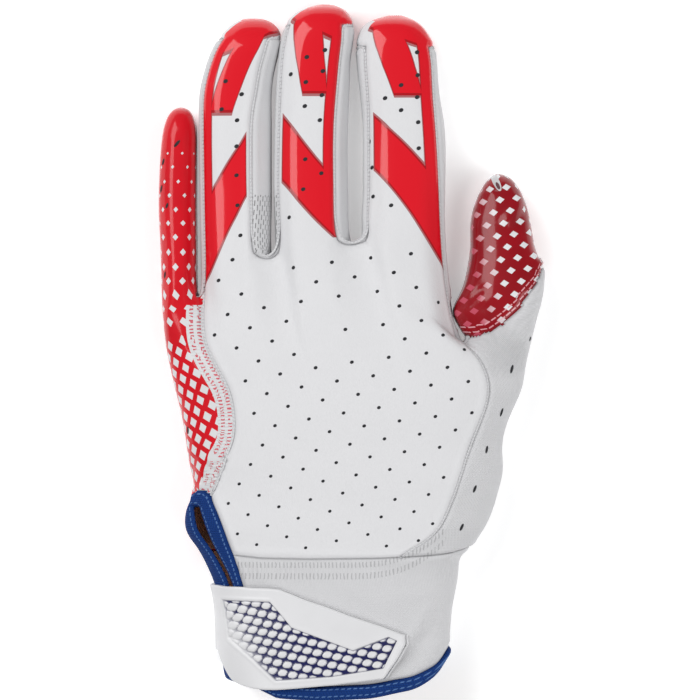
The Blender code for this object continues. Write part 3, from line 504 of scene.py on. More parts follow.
def digit_grid(index):
    """Rings of one digit from root to last section, as (rings, places, xyz), and its tip."""
    digit = DIGITS[index]
    x0 = root_lefts()[index]
    rows = read(digit.sections[:-1])
    shares = np.linspace(0.0, 1.0, digit.strips + 1)
    sides = SIDE_STEPS - 1
    across = np.concatenate([shares, np.ones(sides), shares[::-1], np.zeros(sides)])
    left, right = column(x0 + rows.left * digit.width), column(x0 + rows.right * digit.width)
    back_x = blend(left + column(rows.seam_left) * digit.width,
                   right - column(rows.seam_right) * digit.width, shares)
    low = column(rows.lift) * FINGER_DEPTH
    x, z = section_rings(left, right, back_x, shares, low,
                         low + column(rows.deep) * FINGER_DEPTH)
    slant = np.clip(1.0 - column(rows.along) / SLANT_FADE, 0.0, 1.0) ** FADE_POWER
    rises = blend(digit.rise_left, digit.rise_right, across) * PALM_LENGTH
    y = digit.root * PALM_LENGTH + column(rows.along) * digit.length + slant * rises
    last = digit.sections[-1]
    tip = (x0 + last.left * digit.width, digit.root * PALM_LENGTH + digit.length,
           (last.lift + last.deep / 2) * FINGER_DEPTH)
    return np.stack([x, y, z], axis=-1), np.array(tip)


def hem_rise(across):
    """Height of the hem over its lowest point, straight between the table's points."""
    hem = read(HEM)
    return np.interp(across, hem.across, hem.rise)


def hand_grid(table, base, length, start):
    """Rings of the hand or cuff under the root ring `base`. Each is an arch over a flat
    underside, mixed with the root ring's own heights by the row's slant."""
    rows = read(table)
    breadth = hand_breadth()
    left, right = column(rows.left * breadth), column(rows.right * breadth)
    mid, half = (left + right) / 2, (right - left) / 2
    low, high = column(rows.lift * HAND_DEPTH), column(rows.deep * HAND_DEPTH)
    little, thumb = DIGITS[LITTLE].strips, DIGITS[THUMB].strips
    backs = sum(d.strips + 1 for d in DIGITS)
    base_x, base_z = base[:, 0], base[:, 2]
    palm = base_x[backs + SIDE_STEPS - 1:2 * backs + SIDE_STEPS - 1]
    edge = PALM_EDGE * HAND_DEPTH
    slant = column(rows.slant)
    foot_left = 1.0 - blend(edge, palm[-1] - base_x.min(), slant) / half
    foot_right = 1.0 - blend(edge, base_x.max() - palm[0], slant) / half

    def arc(inner, foot, count):
        top = angle_of(inner, ARCH_POWER)
        angles = blend(top, -angle_of(foot, PALM_POWER), np.arange(count + 1) / count)
        return side_point(angles, low, high)

    left_u, left_z = arc((mid - column(rows.slit_left) * breadth) / half, foot_left,
                         little + SIDE_STEPS)
    web = base_x[backs - thumb - 1] - base_x[backs - thumb - 2]
    seam_right = column(rows.seam_right) * breadth
    right_u, right_z = arc((seam_right + web - mid) / half, foot_right, thumb + SIDE_STEPS)
    first, last = little + 1, backs - thumb - 2
    share = (base_x[first:last + 1] - base_x[first]) / (base_x[last] - base_x[first])
    inner = (share[1:] - share[1]) / (1.0 - share[1])
    middle = np.hstack([column(rows.slit_right) * breadth,
                        blend(column(rows.seam_left) * breadth, seam_right, inner)])
    palm_share = (palm - palm[-1]) / (palm[0] - palm[-1])
    under = blend(-foot_left, foot_right, palm_share[1:])
    x = np.hstack([mid - half * left_u[:, little::-1], middle, mid + half * right_u,
                   mid + half * under, mid - half * left_u[:, -2:little:-1]])
    z = np.hstack([left_z[:, little::-1], arch((middle - mid) / half, low, high), right_z,
                   underside(under, low, high), left_z[:, -2:little:-1]])
    z = blend(z, low + base_z * (high - low) / base_z.max(), slant)
    y = (slant * base[:, 1] - column(rows.drop) * length - start
         + column(rows.tail) * CUFF_LENGTH * hem_rise((x - left) / (right - left)))
    return np.stack([x, y, z], axis=-1)


def unrolled(grid, palm_start, palm_count):
    """Distance round each ring as cloth laid flat: x itself on the palm, and from the
    palm's left corner on, that corner's x less the arc length. The cut is at the palm's
    right corner. One column more than the ring has places."""
    turned = np.roll(grid, -palm_start, axis=1)
    turned = np.concatenate([turned, turned[:, :1]], axis=1)
    steps = np.linalg.norm(np.diff(turned[..., [0, 2]], axis=1), axis=-1)
    arc = np.hstack([np.zeros((len(grid), 1)), np.cumsum(steps, axis=1)])
    corner = palm_count - 1
    flat = turned[:, corner:corner + 1, 0] - (arc - arc[:, corner:corner + 1])
    flat[:, :corner + 1] = turned[:, :corner + 1, 0]
    return flat


def grid_faces(ids):
    """Quads between neighbouring rings of vertex numbers, counter-clockwise from outside
    where the rings run towards a tip."""
    nxt = np.roll(ids, -1, axis=1)
    return np.stack([ids[:-1], nxt[:-1], nxt[1:], ids[1:]], axis=-1)


def grid_corners(values):
    """Corner values of those quads, where values has one column more than the ring."""
    return np.stack([values[:-1, :-1], values[:-1, 1:], values[1:, 1:], values[1:, :-1]],
                    axis=-1)


def digit_labels(index, rings, places):
    """Panel number of each quad of a digit, by ring and by place round it."""
    strips = DIGITS[index].strips
    back = {LITTLE: PALM, THUMB: SHELL}.get(index, BACK)
    palm = SHELL if index == THUMB else PALM
    j, k = np.meshgrid(np.arange(rings), np.arange(places), indexing="ij")
    on_right = k < strips + SIDE_STEPS
    step = np.where(on_right, k - strips, 2 * (strips + SIDE_STEPS) - 1 - k)
    side = np.where(on_right, SIDE_FIRST + index, SIDE_FIRST + index - 1)
    if index == THUMB:
        side = np.where(~on_right & (j < WEB_ROWS), SIDE_FIRST + THUMB - 1, back)
    if index == LITTLE:
        side = np.where(on_right, SIDE_FIRST, palm)
    ending = np.where(step < SIDE_STEPS // 2, back, palm)
    label = np.where(j >= rings - TIP_ROWS, ending, side)
    label = np.where(k < strips, back, label)
    return np.where((k >= strips + SIDE_STEPS) & (k < 2 * strips + SIDE_STEPS), palm, label)


def hand_labels(rings, places):
    """Panel number of each quad of the hand and cuff; OPEN where the slit is."""
    little, thumb = DIGITS[LITTLE].strips, DIGITS[THUMB].strips
    backs = sum(d.strips + 1 for d in DIGITS)
    slit, gusset = little, backs - thumb - 2
    palm_start = backs + SIDE_STEPS - 1
    j, k = np.meshgrid(np.arange(rings - 1), np.arange(places), indexing="ij")
    label = np.where((k > slit) & (k < gusset), BACK, PALM)
    label = np.where((k >= gusset) & (k < palm_start + thumb // 2), GUSSET, label)
    label = np.where(j > len(HAND_ROWS), CUFF, label)
    beside = (j >= SLIT_TOP_ROW) & (np.abs(k - slit) <= 1)
    label = np.where(beside | (j >= rings - 2), TAPE, label)
    return np.where((k == slit) & (j > SLIT_TOP_ROW), OPEN, label)


def coarse_skin():
    """The skin's points, faces, panel numbers and the corner values of two maps: cloth
    (metres as if laid flat) and digit (2 x digit + share across, share along)."""
    points, faces, labels, cloth, digit_map = [], [], [], [], []
    roots, count = [], 0
    for index, digit in enumerate(DIGITS):
        grid, tip = digit_grid(index)
        rings, places = grid.shape[:2]
        ids = count + np.arange(rings * places).reshape(rings, places)
        tip_id = count + rings * places
        count = tip_id + 1
        roots.append(ids[0])
        points += [grid.reshape(-1, 3), tip[None]]
        start = digit.strips + SIDE_STEPS
        flat = np.roll(unrolled(grid, start, digit.strips + 1)[:, :-1], start, axis=1)
        ends = np.roll(unrolled(grid, start, digit.strips + 1)[:, 1:], start, axis=1)
        label = digit_labels(index, rings, places)
        quads = grid_faces(ids)
        level = grid[..., 1]
        level_next = np.roll(level, -1, axis=1)
        flat_c = np.stack([flat[:-1], ends[:-1], ends[1:], flat[1:]], axis=-1)
        level_c = np.stack([level[:-1], level_next[:-1], level_next[1:], level[1:]], axis=-1)
        sides = 1.0 + 0.08 * np.arange(1, SIDE_STEPS)
        across = np.concatenate([
            np.linspace(0, 1, digit.strips + 1), sides, np.full(digit.strips + 1, 1.4),
            1.0 - sides[::-1], [0.0]]) + 2 * index
        along = column(read(digit.sections[:-1]).along) + 0 * across
        across = across + 0 * along
        faces.append(quads.reshape(-1, 4))
        labels.append(label[:-1].ravel())
        cloth.append(np.stack([flat_c, level_c], axis=-1).reshape(-1, 2))
        digit_map.append(np.stack([grid_corners(across), grid_corners(along)],
                                  axis=-1).reshape(-1, 2))
        last = np.stack([ids[-1], np.roll(ids[-1], -1), np.full(places, tip_id)], axis=-1)
        faces.append(last)
        labels.append(label[-1])
        cap = np.stack([flat[-1], ends[-1], (flat[-1] + ends[-1]) / 2], axis=-1)
        rise = np.stack([level[-1], level_next[-1], np.full(places, tip[1])], axis=-1)
        cloth.append(np.stack([cap, rise], axis=-1).reshape(-1, 2))
        turn = np.stack([across[-1, :-1], across[-1, 1:],
                         np.full(places, 2 * index + 0.5)], axis=-1)
        top = np.stack([along[-1, :-1], along[-1, 1:], np.ones(places)], axis=-1)
        digit_map.append(np.stack([turn, top], axis=-1).reshape(-1, 2))

    steps = np.arange(SIDE_STEPS + 1)
    for index in range(len(DIGITS) - 1):
        down = roots[index][DIGITS[index].strips + steps]
        up = roots[index + 1][-steps]
        quads = np.stack([down[:-1], up[:-1], up[1:], down[1:]], axis=-1)
        faces.append(quads)
        labels.append(np.full(SIDE_STEPS, SIDE_FIRST + index))
        flat = np.concatenate(points)[quads]
        cloth.append(flat[..., [0, 1]].reshape(-1, 2))
        digit_map.append(np.full((quads.size, 2), 2.0 * index + 1.5))

    layout = []
    for index, digit in enumerate(DIGITS):
        layout.append(roots[index][:digit.strips + 1])
    layout.append(roots[THUMB][DIGITS[THUMB].strips + steps[1:-1]])
    for index in range(THUMB, -1, -1):
        strips = DIGITS[index].strips
        layout.append(roots[index][strips + SIDE_STEPS + np.arange(strips + 1)])
    layout.append(roots[LITTLE][2 * DIGITS[LITTLE].strips + SIDE_STEPS + steps[1:-1]])
    root_ids = np.concatenate(layout)
    base = np.concatenate(points)[root_ids]
    hand = hand_grid(HAND_ROWS, base, PALM_LENGTH, 0.0)
    cuff = hand_grid(CUFF_ROWS, base, CUFF_LENGTH, PALM_LENGTH)
    grid = np.concatenate([base[None], hand, cuff])
    rings, places = grid.shape[:2]
    ids = np.vstack([root_ids, count + np.arange((rings - 1) * places).reshape(-1, places)])
    points.append(grid[1:].reshape(-1, 3))
    label = hand_labels(rings, places)
    backs = sum(d.strips + 1 for d in DIGITS)
    start = backs + SIDE_STEPS - 1
    flat_all = unrolled(grid, start, backs)
    flat = np.roll(flat_all[:, :-1], start, axis=1)
    ends = np.roll(flat_all[:, 1:], start, axis=1)
    level = grid[..., 1]
    level_next = np.roll(level, -1, axis=1)
    across = np.concatenate([2 * i + np.linspace(0, 1, d.strips + 1)
                             for i, d in enumerate(DIGITS)])
    lengths = np.concatenate([np.full(d.strips + 1, d.length) for d in DIGITS])
    rest = places - len(across)
    across = np.concatenate([across, np.full(rest + 1, across[-1])]) + 0 * column(level[:, 0])
    lengths = np.concatenate([lengths, np.full(rest, lengths[-1])])
    along = (level - level[:1]) / lengths
    along = np.concatenate([along, along[:, :1]], axis=1)
    quads = grid_faces(ids)[..., [0, 3, 2, 1]].reshape(-1, 4)
    faces.append(quads)
    labels.append(label.ravel())
    flat_c = np.stack([flat[:-1], flat[1:], ends[1:], ends[:-1]], axis=-1)
    level_c = np.stack([level[:-1], level[1:], level_next[1:], level_next[:-1]], axis=-1)
    cloth.append(np.stack([flat_c, level_c], axis=-1).reshape(-1, 2))
    two = np.stack([grid_corners(across)[..., [0, 3, 2, 1]],
                    grid_corners(along)[..., [0, 3, 2, 1]]], axis=-1)
    digit_map.append(two.reshape(-1, 2))
    face_list = [row for part in faces for row in part.tolist()]
    return (np.concatenate(points), face_list, np.concatenate(labels),
            np.concatenate(cloth), np.concatenate(digit_map))


# ---- The fine skin


Skin = namedtuple("Skin", "points normals quads labels cloth digit seam zone run")
REFINE = 3                 # times each face is halved both ways
FIT_ROUNDS = 3             # rounds that bring the smooth surface onto the tables' points
SEAM_ROUNDS = 14           # faces over which the distance from a seam is passed on
SEAM_HALF = 0.0008         # half width of the groove along a seam
Shoulder = namedtuple("Shoulder", "share away half")
SHOULDER = Shoulder(0.3, 0.0022, 0.0010)    # soft rise beside the groove
_made = {}


def values_of(items, name, width, kind=np.float64):
    """A property of many Blender items as one array."""
    found = np.empty(len(items) * width, kind)
    items.foreach_get(name, found)
    return found.reshape(-1, width) if width > 1 else found


def refined(points, faces, labels, maps, levels):
    """Catmull-Clark surface of a coarse mesh, read back as arrays."""
    mesh = bpy.data.meshes.new("skin")
    mesh.from_pydata(points.tolist(), [], faces)
    mesh.attributes.new("panel", "INT", "FACE").data.foreach_set("value", labels)
    for name, values in maps.items():
        layer = mesh.uv_layers.new(name=name)
        layer.uv.foreach_set("vector", values.astype(np.float32).ravel())
    sheet = bpy.data.objects.new("skin", mesh)
    bpy.context.scene.collection.objects.link(sheet)
    smooth = sheet.modifiers.new("Smooth", "SUBSURF")
    smooth.levels = smooth.render_levels = levels
    smooth.uv_smooth = "NONE"
    graph = bpy.context.evaluated_depsgraph_get()
    fine = sheet.evaluated_get(graph).data
    found = (values_of(fine.vertices, "co", 3),
             values_of(fine.loops, "vertex_index", 1, np.int32).reshape(-1, 4),
             values_of(fine.attributes["panel"].data, "value", 1, np.int32),
             [values_of(fine.uv_layers[name].uv, "vector", 2, np.float32) for name in maps])
    bpy.data.objects.remove(sheet, do_unlink=True)
    bpy.data.meshes.remove(mesh)
    return found


def vertex_normals(points, quads):
    """Mean of the faces' cross products round each vertex, made unit length."""
    a, b, c, d = (points[quads[:, i]] for i in range(4))
    cross = np.cross(c - a, d - b)
    total = np.stack([np.bincount(quads.ravel(), np.repeat(cross[:, i], 4), len(points))
                      for i in range(3)], axis=-1)
    return total / np.maximum(np.linalg.norm(total, axis=1, keepdims=True), 1e-12)


def edge_table(quads, labels):
    """Every edge once, with the panels on its two sides; the second is OPEN at an edge."""
    ends = np.stack([quads, np.roll(quads, -1, axis=1)], axis=-1).reshape(-1, 2)
    ends = np.sort(ends, axis=1)
    owner = np.repeat(labels, 4)
    order = np.lexsort((owner, ends[:, 1], ends[:, 0]))
    ends, owner = ends[order], owner[order]
    same = np.all(ends[1:] == ends[:-1], axis=1)
    first = np.concatenate([[True], ~same])
    twin = np.full(len(ends), OPEN)
    twin[:-1][same] = owner[1:][same]
    return ends[first], owner[first], twin[first]


def corners_of(count, quads):
    """Which of a number of vertices are corners of the quads."""
    mine = np.zeros(count, bool)
    mine[quads.ravel()] = True
    return mine

def spread(points, edges, start, rounds):
    """Distance over the mesh from the start vertices: each round passes the least of
    the neighbours' distances plus the edge's length."""
    length = np.linalg.norm(points[edges[:, 0]] - points[edges[:, 1]], axis=1)
    distance = np.full(len(points), 1.0)
    distance[start] = 0.0
    for _ in range(rounds):
        np.minimum.at(distance, edges[:, 0], distance[edges[:, 1]] + length)
        np.minimum.at(distance, edges[:, 1], distance[edges[:, 0]] + length)
    return distance


def beside_seam(points, edges):
    """Distance of each point from the hand's outer seam, at most ZONE_REACH, and how far
    down the hand that seam's nearest vertex lies."""
    line = points[np.unique(edges)]
    line = line[(line[:, 1] < ZONE_TOP + 0.004) & (line[:, 0] < 0)]
    near = np.flatnonzero((points[:, 1] < ZONE_TOP + ZONE_REACH) & (points[:, 0] < -0.03)
                          & (points[:, 2] > 0.004))
    gap = np.linalg.norm(points[near, None] - line[None], axis=-1)
    zone, run = np.full(len(points), ZONE_REACH), np.zeros(len(points))
    zone[near] = np.minimum(gap.min(axis=1), ZONE_REACH)
    run[near] = line[gap.argmin(axis=1), 1]
    return zone, run


def fold_height(points):
    """Sum of soft ridges: each is height x exp(-(distance from its line / half)^2), and
    fades over the line's ends."""
    total = np.zeros(len(points))
    for fold in FOLDS:
        start = np.array([fold.x0, fold.y0]) * PITCH
        along = np.array([fold.x1, fold.y1]) * PITCH - start
        share = np.clip((points[:, :2] - start) @ along / (along @ along), 0.0, 1.0)
        gap = np.linalg.norm(points[:, :2] - start - share[:, None] * along, axis=1)
        taper = fade(share, -0.05, 0.3) * (1.0 - fade(share, 0.7, 1.05))
        total += fold.height * 1e-3 * taper * np.exp(-(gap / (fold.half * PITCH)) ** 2)
    return total


def trimmed(points, quads, panel):
    """Panel numbers after the small changes of the seams: the slit closed above its end, the
    tape's upper end rounded off, its outer side widened and the outer seam brought down to it
    in a straight line, grip cloth round the little finger's inner side and over the thumb's
    foot."""
    middle = points[quads].mean(axis=1)
    x, y, z = middle.T / PITCH
    across, up = x - TAPE_CAP.x, y - TAPE_CAP.y
    beyond = (up > 0) & ((across / TAPE_CAP.half_width) ** 2
                         + (up / TAPE_CAP.half_height) ** 2 > 1)
    panel = np.where((panel == OPEN) & (y > SLIT_TOP), TAPE, panel)
    right = x - TAPE_SPLIT.x - (y - TAPE_SPLIT.y) * TAPE_SPLIT.slope
    palm_side = right < 0
    near = (y > TAPE_SPLIT.y) & (y < SEAM_END_TOP) & (abs(right) < SEAM_END_HALF)
    near &= (z > SEAM_END_FLOOR) & ((panel == PALM) | (panel == BACK))
    panel = np.where(near, np.where(palm_side, PALM, BACK), panel)
    panel = np.where((panel == TAPE) & beyond, np.where(palm_side, PALM, BACK), panel)
    low = TAPE_SIDE.low + np.clip((y - TAPE_SIDE.rise_from) * TAPE_SIDE.rise, 0, TAPE_SIDE.most)
    outer = (x < TAPE_SIDE.right) & (y < TAPE_SIDE.top) & (z > low) & (
        (panel == PALM) | (panel == CUFF))
    panel = np.where(outer, TAPE, panel)
    inner = (panel == SIDE_FIRST) & (x < LITTLE_INNER) & (z > LITTLE_FLOOR)
    panel = np.where(inner, PALM, panel)
    foot = (outline_distance(x, y, np.array(SHELL_FOOT, float)) > 0) & (z > SHELL_FLOOR) & (
        (panel == GUSSET) | (panel == SIDE_FIRST + INDEX))
    return np.where(foot, SHELL, panel)


def make_skin(look):
    """The fine skin in the frame's place, with seams drawn in, tape standing proud, folds
    and gathers."""
    key = (look.seam_depth, look.tape_rise, look.fold_scale)
    if key in _made:
        return _made[key]
    points, faces, labels, cloth, digit_map = coarse_skin()
    maps = {"cloth": cloth, "digit": digit_map}
    cage = points.copy()
    for _ in range(FIT_ROUNDS):
        fine = refined(cage, faces, labels, maps, 1)[0]
        cage += points - fine[:len(points)]
    fine, quads, panel, (cloth_map, digit_map) = refined(cage, faces, labels, maps, REFINE)
    fine = fine + np.array(ORIGIN)
    panel = trimmed(fine, quads, panel)
    keep = panel != OPEN
    quads, panel = quads[keep], panel[keep]
    cloth_map = cloth_map.reshape(-1, 4, 2)[keep]
    digit_map = digit_map.reshape(-1, 4, 2)[keep]
    normals = vertex_normals(fine, quads)
    edges, one, other = edge_table(quads, panel)
    seam = spread(fine, edges, np.unique(edges[one != other]), SEAM_ROUNDS)
    on_tape = corners_of(len(fine), quads[panel == TAPE])
    on_cuff = corners_of(len(fine), quads[(panel == CUFF) | (panel == BACK)])
    on_shell = corners_of(len(fine), quads[(panel == SHELL) | (panel == GUSSET)])

    zone, run = beside_seam(fine, edges[((one == BACK) & (other == PALM))
                                        | ((one == PALM) & (other == BACK))])
    drawn = np.exp(-(seam / SEAM_HALF) ** 2)
    lift = -look.seam_depth * drawn
    lift += SHOULDER.share * look.seam_depth * np.exp(
        -((seam - SHOULDER.away) / SHOULDER.half) ** 2)
    lift = np.where(on_tape, look.tape_rise * (1.0 - drawn)
                    - 0.5 * look.seam_depth * (seam < 1e-9), lift)
    upper = fade(normals[:, 2], 0.0, 0.4)
    lift += look.fold_scale * fold_height(fine) * upper * ~on_tape
    level = fine[:, 1] / PITCH
    inside = fade(level, GATHERS.low, GATHERS.low + 16) * (
        1.0 - fade(level, GATHERS.high - 10, GATHERS.high))
    wave = np.cos(2 * math.pi * fine[:, 0] / PITCH / GATHERS.period + 0.4 * np.sin(level / 5))
    lift += inside * wave * GATHERS.height * 1e-3 * upper * on_cuff
    fine = fine + normals * lift[:, None]
    away = ((fine[:, 0] / PITCH - SHELL_BULGE.x) / SHELL_BULGE.half_width) ** 2 + (
        (level - SHELL_BULGE.y) / SHELL_BULGE.half_height) ** 2
    fine[:, 0] -= SHELL_BULGE.reach * PITCH * np.exp(-away) * on_shell
    fine[:, 2] = np.maximum(fine[:, 2], 0.00002)
    made = Skin(fine, vertex_normals(fine, quads), quads, panel,
                cloth_map, digit_map, seam, zone, run)
    _made[key] = made
    return made


def border_chains(skin, one, other):
    """Runs of border vertices between two panels, each in walking order."""
    edges, a, b = edge_table(skin.quads, skin.labels)
    wanted = ((a == one) & (b == other)) | ((a == other) & (b == one))
    links = {}
    for v, w in edges[wanted].tolist():
        links.setdefault(v, []).append(w)
        links.setdefault(w, []).append(v)
    chains = []
    starts = [v for v, near in links.items() if len(near) == 1] + list(links)
    seen = set()
    for start in starts:
        if start in seen:
            continue
        chain, at = [], start
        while at is not None:
            seen.add(at)
            chain.append(at)
            at = next((w for w in links[at] if w not in seen), None)
        chains.append(np.array(chain))
    return chains


# ---- Pieces laid on the skin


def walk(points, normals, pitch, smooth=4):
    """Even stations along a run of points: place, direction and normal. The run is first
    evened out by a moving mean, its ends kept."""
    kernel = np.ones(2 * smooth + 1) / (2 * smooth + 1)
    padded = np.pad(points, ((smooth, smooth), (0, 0)), mode="reflect", reflect_type="odd")
    points = np.stack([np.convolve(padded[:, i], kernel, "valid") for i in range(3)], -1)
    steps = np.linalg.norm(np.diff(points, axis=0), axis=1)
    arc = np.concatenate([[0.0], np.cumsum(steps)])
    at = np.arange(pitch / 2, arc[-1], pitch)
    if len(at) < 2:
        return np.zeros((0, 3)), np.zeros((0, 3)), np.zeros((0, 3))
    place = np.stack([np.interp(at, arc, points[:, i]) for i in range(3)], axis=-1)
    normal = np.stack([np.interp(at, arc, normals[:, i]) for i in range(3)], axis=-1)
    return place, unit(np.gradient(place, axis=0)), unit(normal)


def unit(vectors):
    """Each vector over its own length."""
    return vectors / np.maximum(np.linalg.norm(vectors, axis=-1, keepdims=True), 1e-12)


def side_of(skin, chain, label, forward):
    """1 if a panel lies right of the walk along its border, and -1 if left of it."""
    at = chain[len(chain) // 2]
    mine = (skin.quads == at).any(axis=1) & (skin.labels == label)
    away = skin.points[skin.quads[mine]].mean(axis=(0, 1)) - skin.points[at]
    right = np.cross(forward[len(forward) // 2], skin.normals[at])
    return 1.0 if right @ away > 0 else -1.0


def on_skin(skin, xy, panels):
    """Points of the skin's upper side under places seen from above: the nearest vertex's
    tangent plane gives the height."""
    upper = (skin.normals[:, 2] > 0.08) & corners_of(
        len(skin.points), skin.quads[np.isin(skin.labels, panels)])
    points, normals = skin.points[upper], skin.normals[upper]
    gap = ((xy[:, None, :] - points[None, :, :2]) ** 2).sum(axis=-1)
    near = gap.argmin(axis=1)
    p, n = points[near], normals[near]
    offset = xy - p[:, :2]
    drop = -(n[:, :2] * offset).sum(axis=1) / np.maximum(n[:, 2], 0.25)
    drop = np.clip(drop, -0.002, 0.002)
    seam = skin.seam[upper][near]
    return np.column_stack([xy, p[:, 2] + drop]), n, np.sqrt(gap.min(axis=1)), seam


def tube(path, normals, radii, sides=10):
    """Round profile carried along a path: path + r (cos t N + sin t B), closed at its ends."""
    tangent = unit(np.gradient(path, axis=0))
    across = unit(np.cross(tangent, normals))
    up = np.cross(across, tangent)
    turn = np.arange(sides) * 2 * math.pi / sides
    ring = (np.cos(turn)[None, :, None] * up[:, None, :]
            + np.sin(turn)[None, :, None] * across[:, None, :])
    points = path[:, None, :] + ring * radii.reshape(-1, 1, 1)
    ids = np.arange(len(path) * sides).reshape(len(path), sides)
    nxt = np.roll(ids, -1, axis=1)
    quads = np.stack([ids[:-1], ids[1:], nxt[1:], nxt[:-1]], axis=-1).reshape(-1, 4)
    faces = quads.tolist() + [ids[0].tolist(), ids[-1][::-1].tolist()]
    return points.reshape(-1, 3), faces

STITCH_SIDES = 6
STITCH_RINGS = np.array([[-1.0, 0.25], [-0.75, 0.85], [0.0, 1.0], [0.75, 0.85], [1.0, 0.25]])


def stitch_mesh(places, directions, normals, length, radius):
    """Short rounded threads: place + direction x s L/2 + r w(s) (cos t N + sin t B)."""
    side = unit(np.cross(directions, normals))
    up = np.cross(side, directions)
    turn = np.arange(STITCH_SIDES) * 2 * math.pi / STITCH_SIDES
    ring = (np.cos(turn)[None, :, None] * up[:, None] + np.sin(turn)[None, :, None]
            * side[:, None])
    s, w = STITCH_RINGS[:, 0], STITCH_RINGS[:, 1]
    points = (places[:, None, None]
              + directions[:, None, None] * (s[None, :, None, None] * length / 2)
              + ring[:, None] * (w[None, :, None, None] * radius))
    points -= up[:, None, None] * (radius * 0.6 * (s ** 2)[None, :, None, None])
    count, rings = len(places), len(s)
    ids = np.arange(count * rings * STITCH_SIDES).reshape(count, rings, STITCH_SIDES)
    nxt = np.roll(ids, -1, axis=2)
    quads = np.stack([ids[:, :-1], ids[:, 1:], nxt[:, 1:], nxt[:, :-1]], -1).reshape(-1, 4)
    caps = np.concatenate([ids[:, 0], ids[:, -1, ::-1]])
    return points.reshape(-1, 3), quads.tolist() + caps.tolist()


def join(parts):
    """Several (points, faces) as one mesh."""
    points, faces, count = [], [], 0
    for more, rows in parts:
        points.append(more)
        faces += [[i + count for i in row] for row in rows]
        count += len(more)
    return np.concatenate(points), faces


def disc_mesh(places, normals, radii, stretch=1.0, turn=0.0, sides=14):
    """Shallow pits, made dark by painted shadow in their material: a rim on the cloth and a
    centre that lies a little lower. An oval of half length r x stretch, turned about the normal."""
    east = np.array([math.cos(turn), math.sin(turn), 0.0]) + 0 * normals
    east = unit(east - (east * normals).sum(-1, keepdims=True) * normals)
    north = np.cross(normals, east)
    angle = np.arange(sides) * 2 * math.pi / sides
    radii = np.broadcast_to(radii, len(places))[:, None, None]
    flat = (np.cos(angle)[None, :, None] * stretch * east[:, None]
            + np.sin(angle)[None, :, None] * north[:, None])
    rim = places[:, None] + flat * radii + normals[:, None] * 0.00004
    inner = places[:, None] + flat * radii * 0.7 + normals[:, None] * 0.00007
    centre = places[:, None] + normals[:, None] * 0.00005
    points = np.concatenate([rim, inner, centre], axis=1)
    base = (np.arange(len(places)) * (2 * sides + 1))[:, None]
    a = base + np.arange(sides)
    b = base + np.roll(np.arange(sides), -1)
    middle = np.broadcast_to(base + 2 * sides, a.shape)
    quads = np.stack([a, b, b + sides, a + sides], -1).reshape(-1, 4).tolist()
    caps = np.stack([a + sides, b + sides, middle], -1).reshape(-1, 3).tolist()
    return points.reshape(-1, 3), quads + caps


def new_piece(name, points, faces, materials, replaced=(), maps=None, values=None):
    """An object at the origin that rides on the frame."""
    old = bpy.data.objects.get(name + "_look")
    if old:
        bpy.data.objects.remove(old, do_unlink=True)
    mesh = bpy.data.meshes.new(name + "_look")
    mesh.from_pydata(np.asarray(points).tolist(), [], faces)
    if len(mesh.polygons) == 0:
        raise RuntimeError(name + " has no faces")
    for key, corners in (maps or {}).items():
        layer = mesh.uv_layers.new(name=key)
        layer.uv.foreach_set("vector", corners.astype(np.float32).ravel())
    for key, amounts in (values or {}).items():
        mesh.attributes.new(key, "FLOAT", "POINT").data.foreach_set(
            "value", amounts.astype(np.float32))
    mesh.polygons.foreach_set("use_smooth", np.ones(len(mesh.polygons), bool))
    for made in materials:
        mesh.materials.append(made)
    piece = bpy.data.objects.new(name + "_look", mesh)
    bpy.context.scene.collection.objects.link(piece)
    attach(piece, BODY)
    if replaced:
        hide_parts(*replaced)
    return piece


def panel_piece(skin, label, materials, wall):
    """One sewn panel: its faces of the skin, and a wall inwards whose other side is the
    lining's colour."""
    mine = skin.labels == label
    used, faces = np.unique(skin.quads[mine], return_inverse=True)
    name = PANELS[label]
    piece = new_piece(name, skin.points[used], faces.reshape(-1, 4).tolist(), materials,
                      replaced=[name],
                      maps={"cloth": skin.cloth[mine], "digit": skin.digit[mine]},
                      values={"seam": skin.seam[used], "zone": skin.zone[used],
                              "run": skin.run[used]})
    solid = piece.modifiers.new("Wall", "SOLIDIFY")
    solid.thickness = wall
    solid.offset = -1.0
    solid.material_offset = 1
    solid.material_offset_rim = 0
    return piece


# ---- The strap


def wrist_section(y, across):
    """Outline of the cuff at a level above the hem: left, right, underside and back. The
    level is followed down through the rings' rise."""
    drop = 1.0 - y / CUFF_LENGTH
    for _ in range(LEVEL_STEPS):
        tail = smooth_read(CUFF_ROWS, "tail", np.clip(drop, 0.0, 1.0))
        drop = 1.0 - y / CUFF_LENGTH + tail * hem_rise(across)
    drop = np.clip(drop, 0.0, 1.0)
    breadth = hand_breadth()
    return (smooth_read(CUFF_ROWS, "left", drop) * breadth,
            smooth_read(CUFF_ROWS, "right", drop) * breadth,
            smooth_read(CUFF_ROWS, "lift", drop) * HAND_DEPTH,
            smooth_read(CUFF_ROWS, "deep", drop) * HAND_DEPTH)


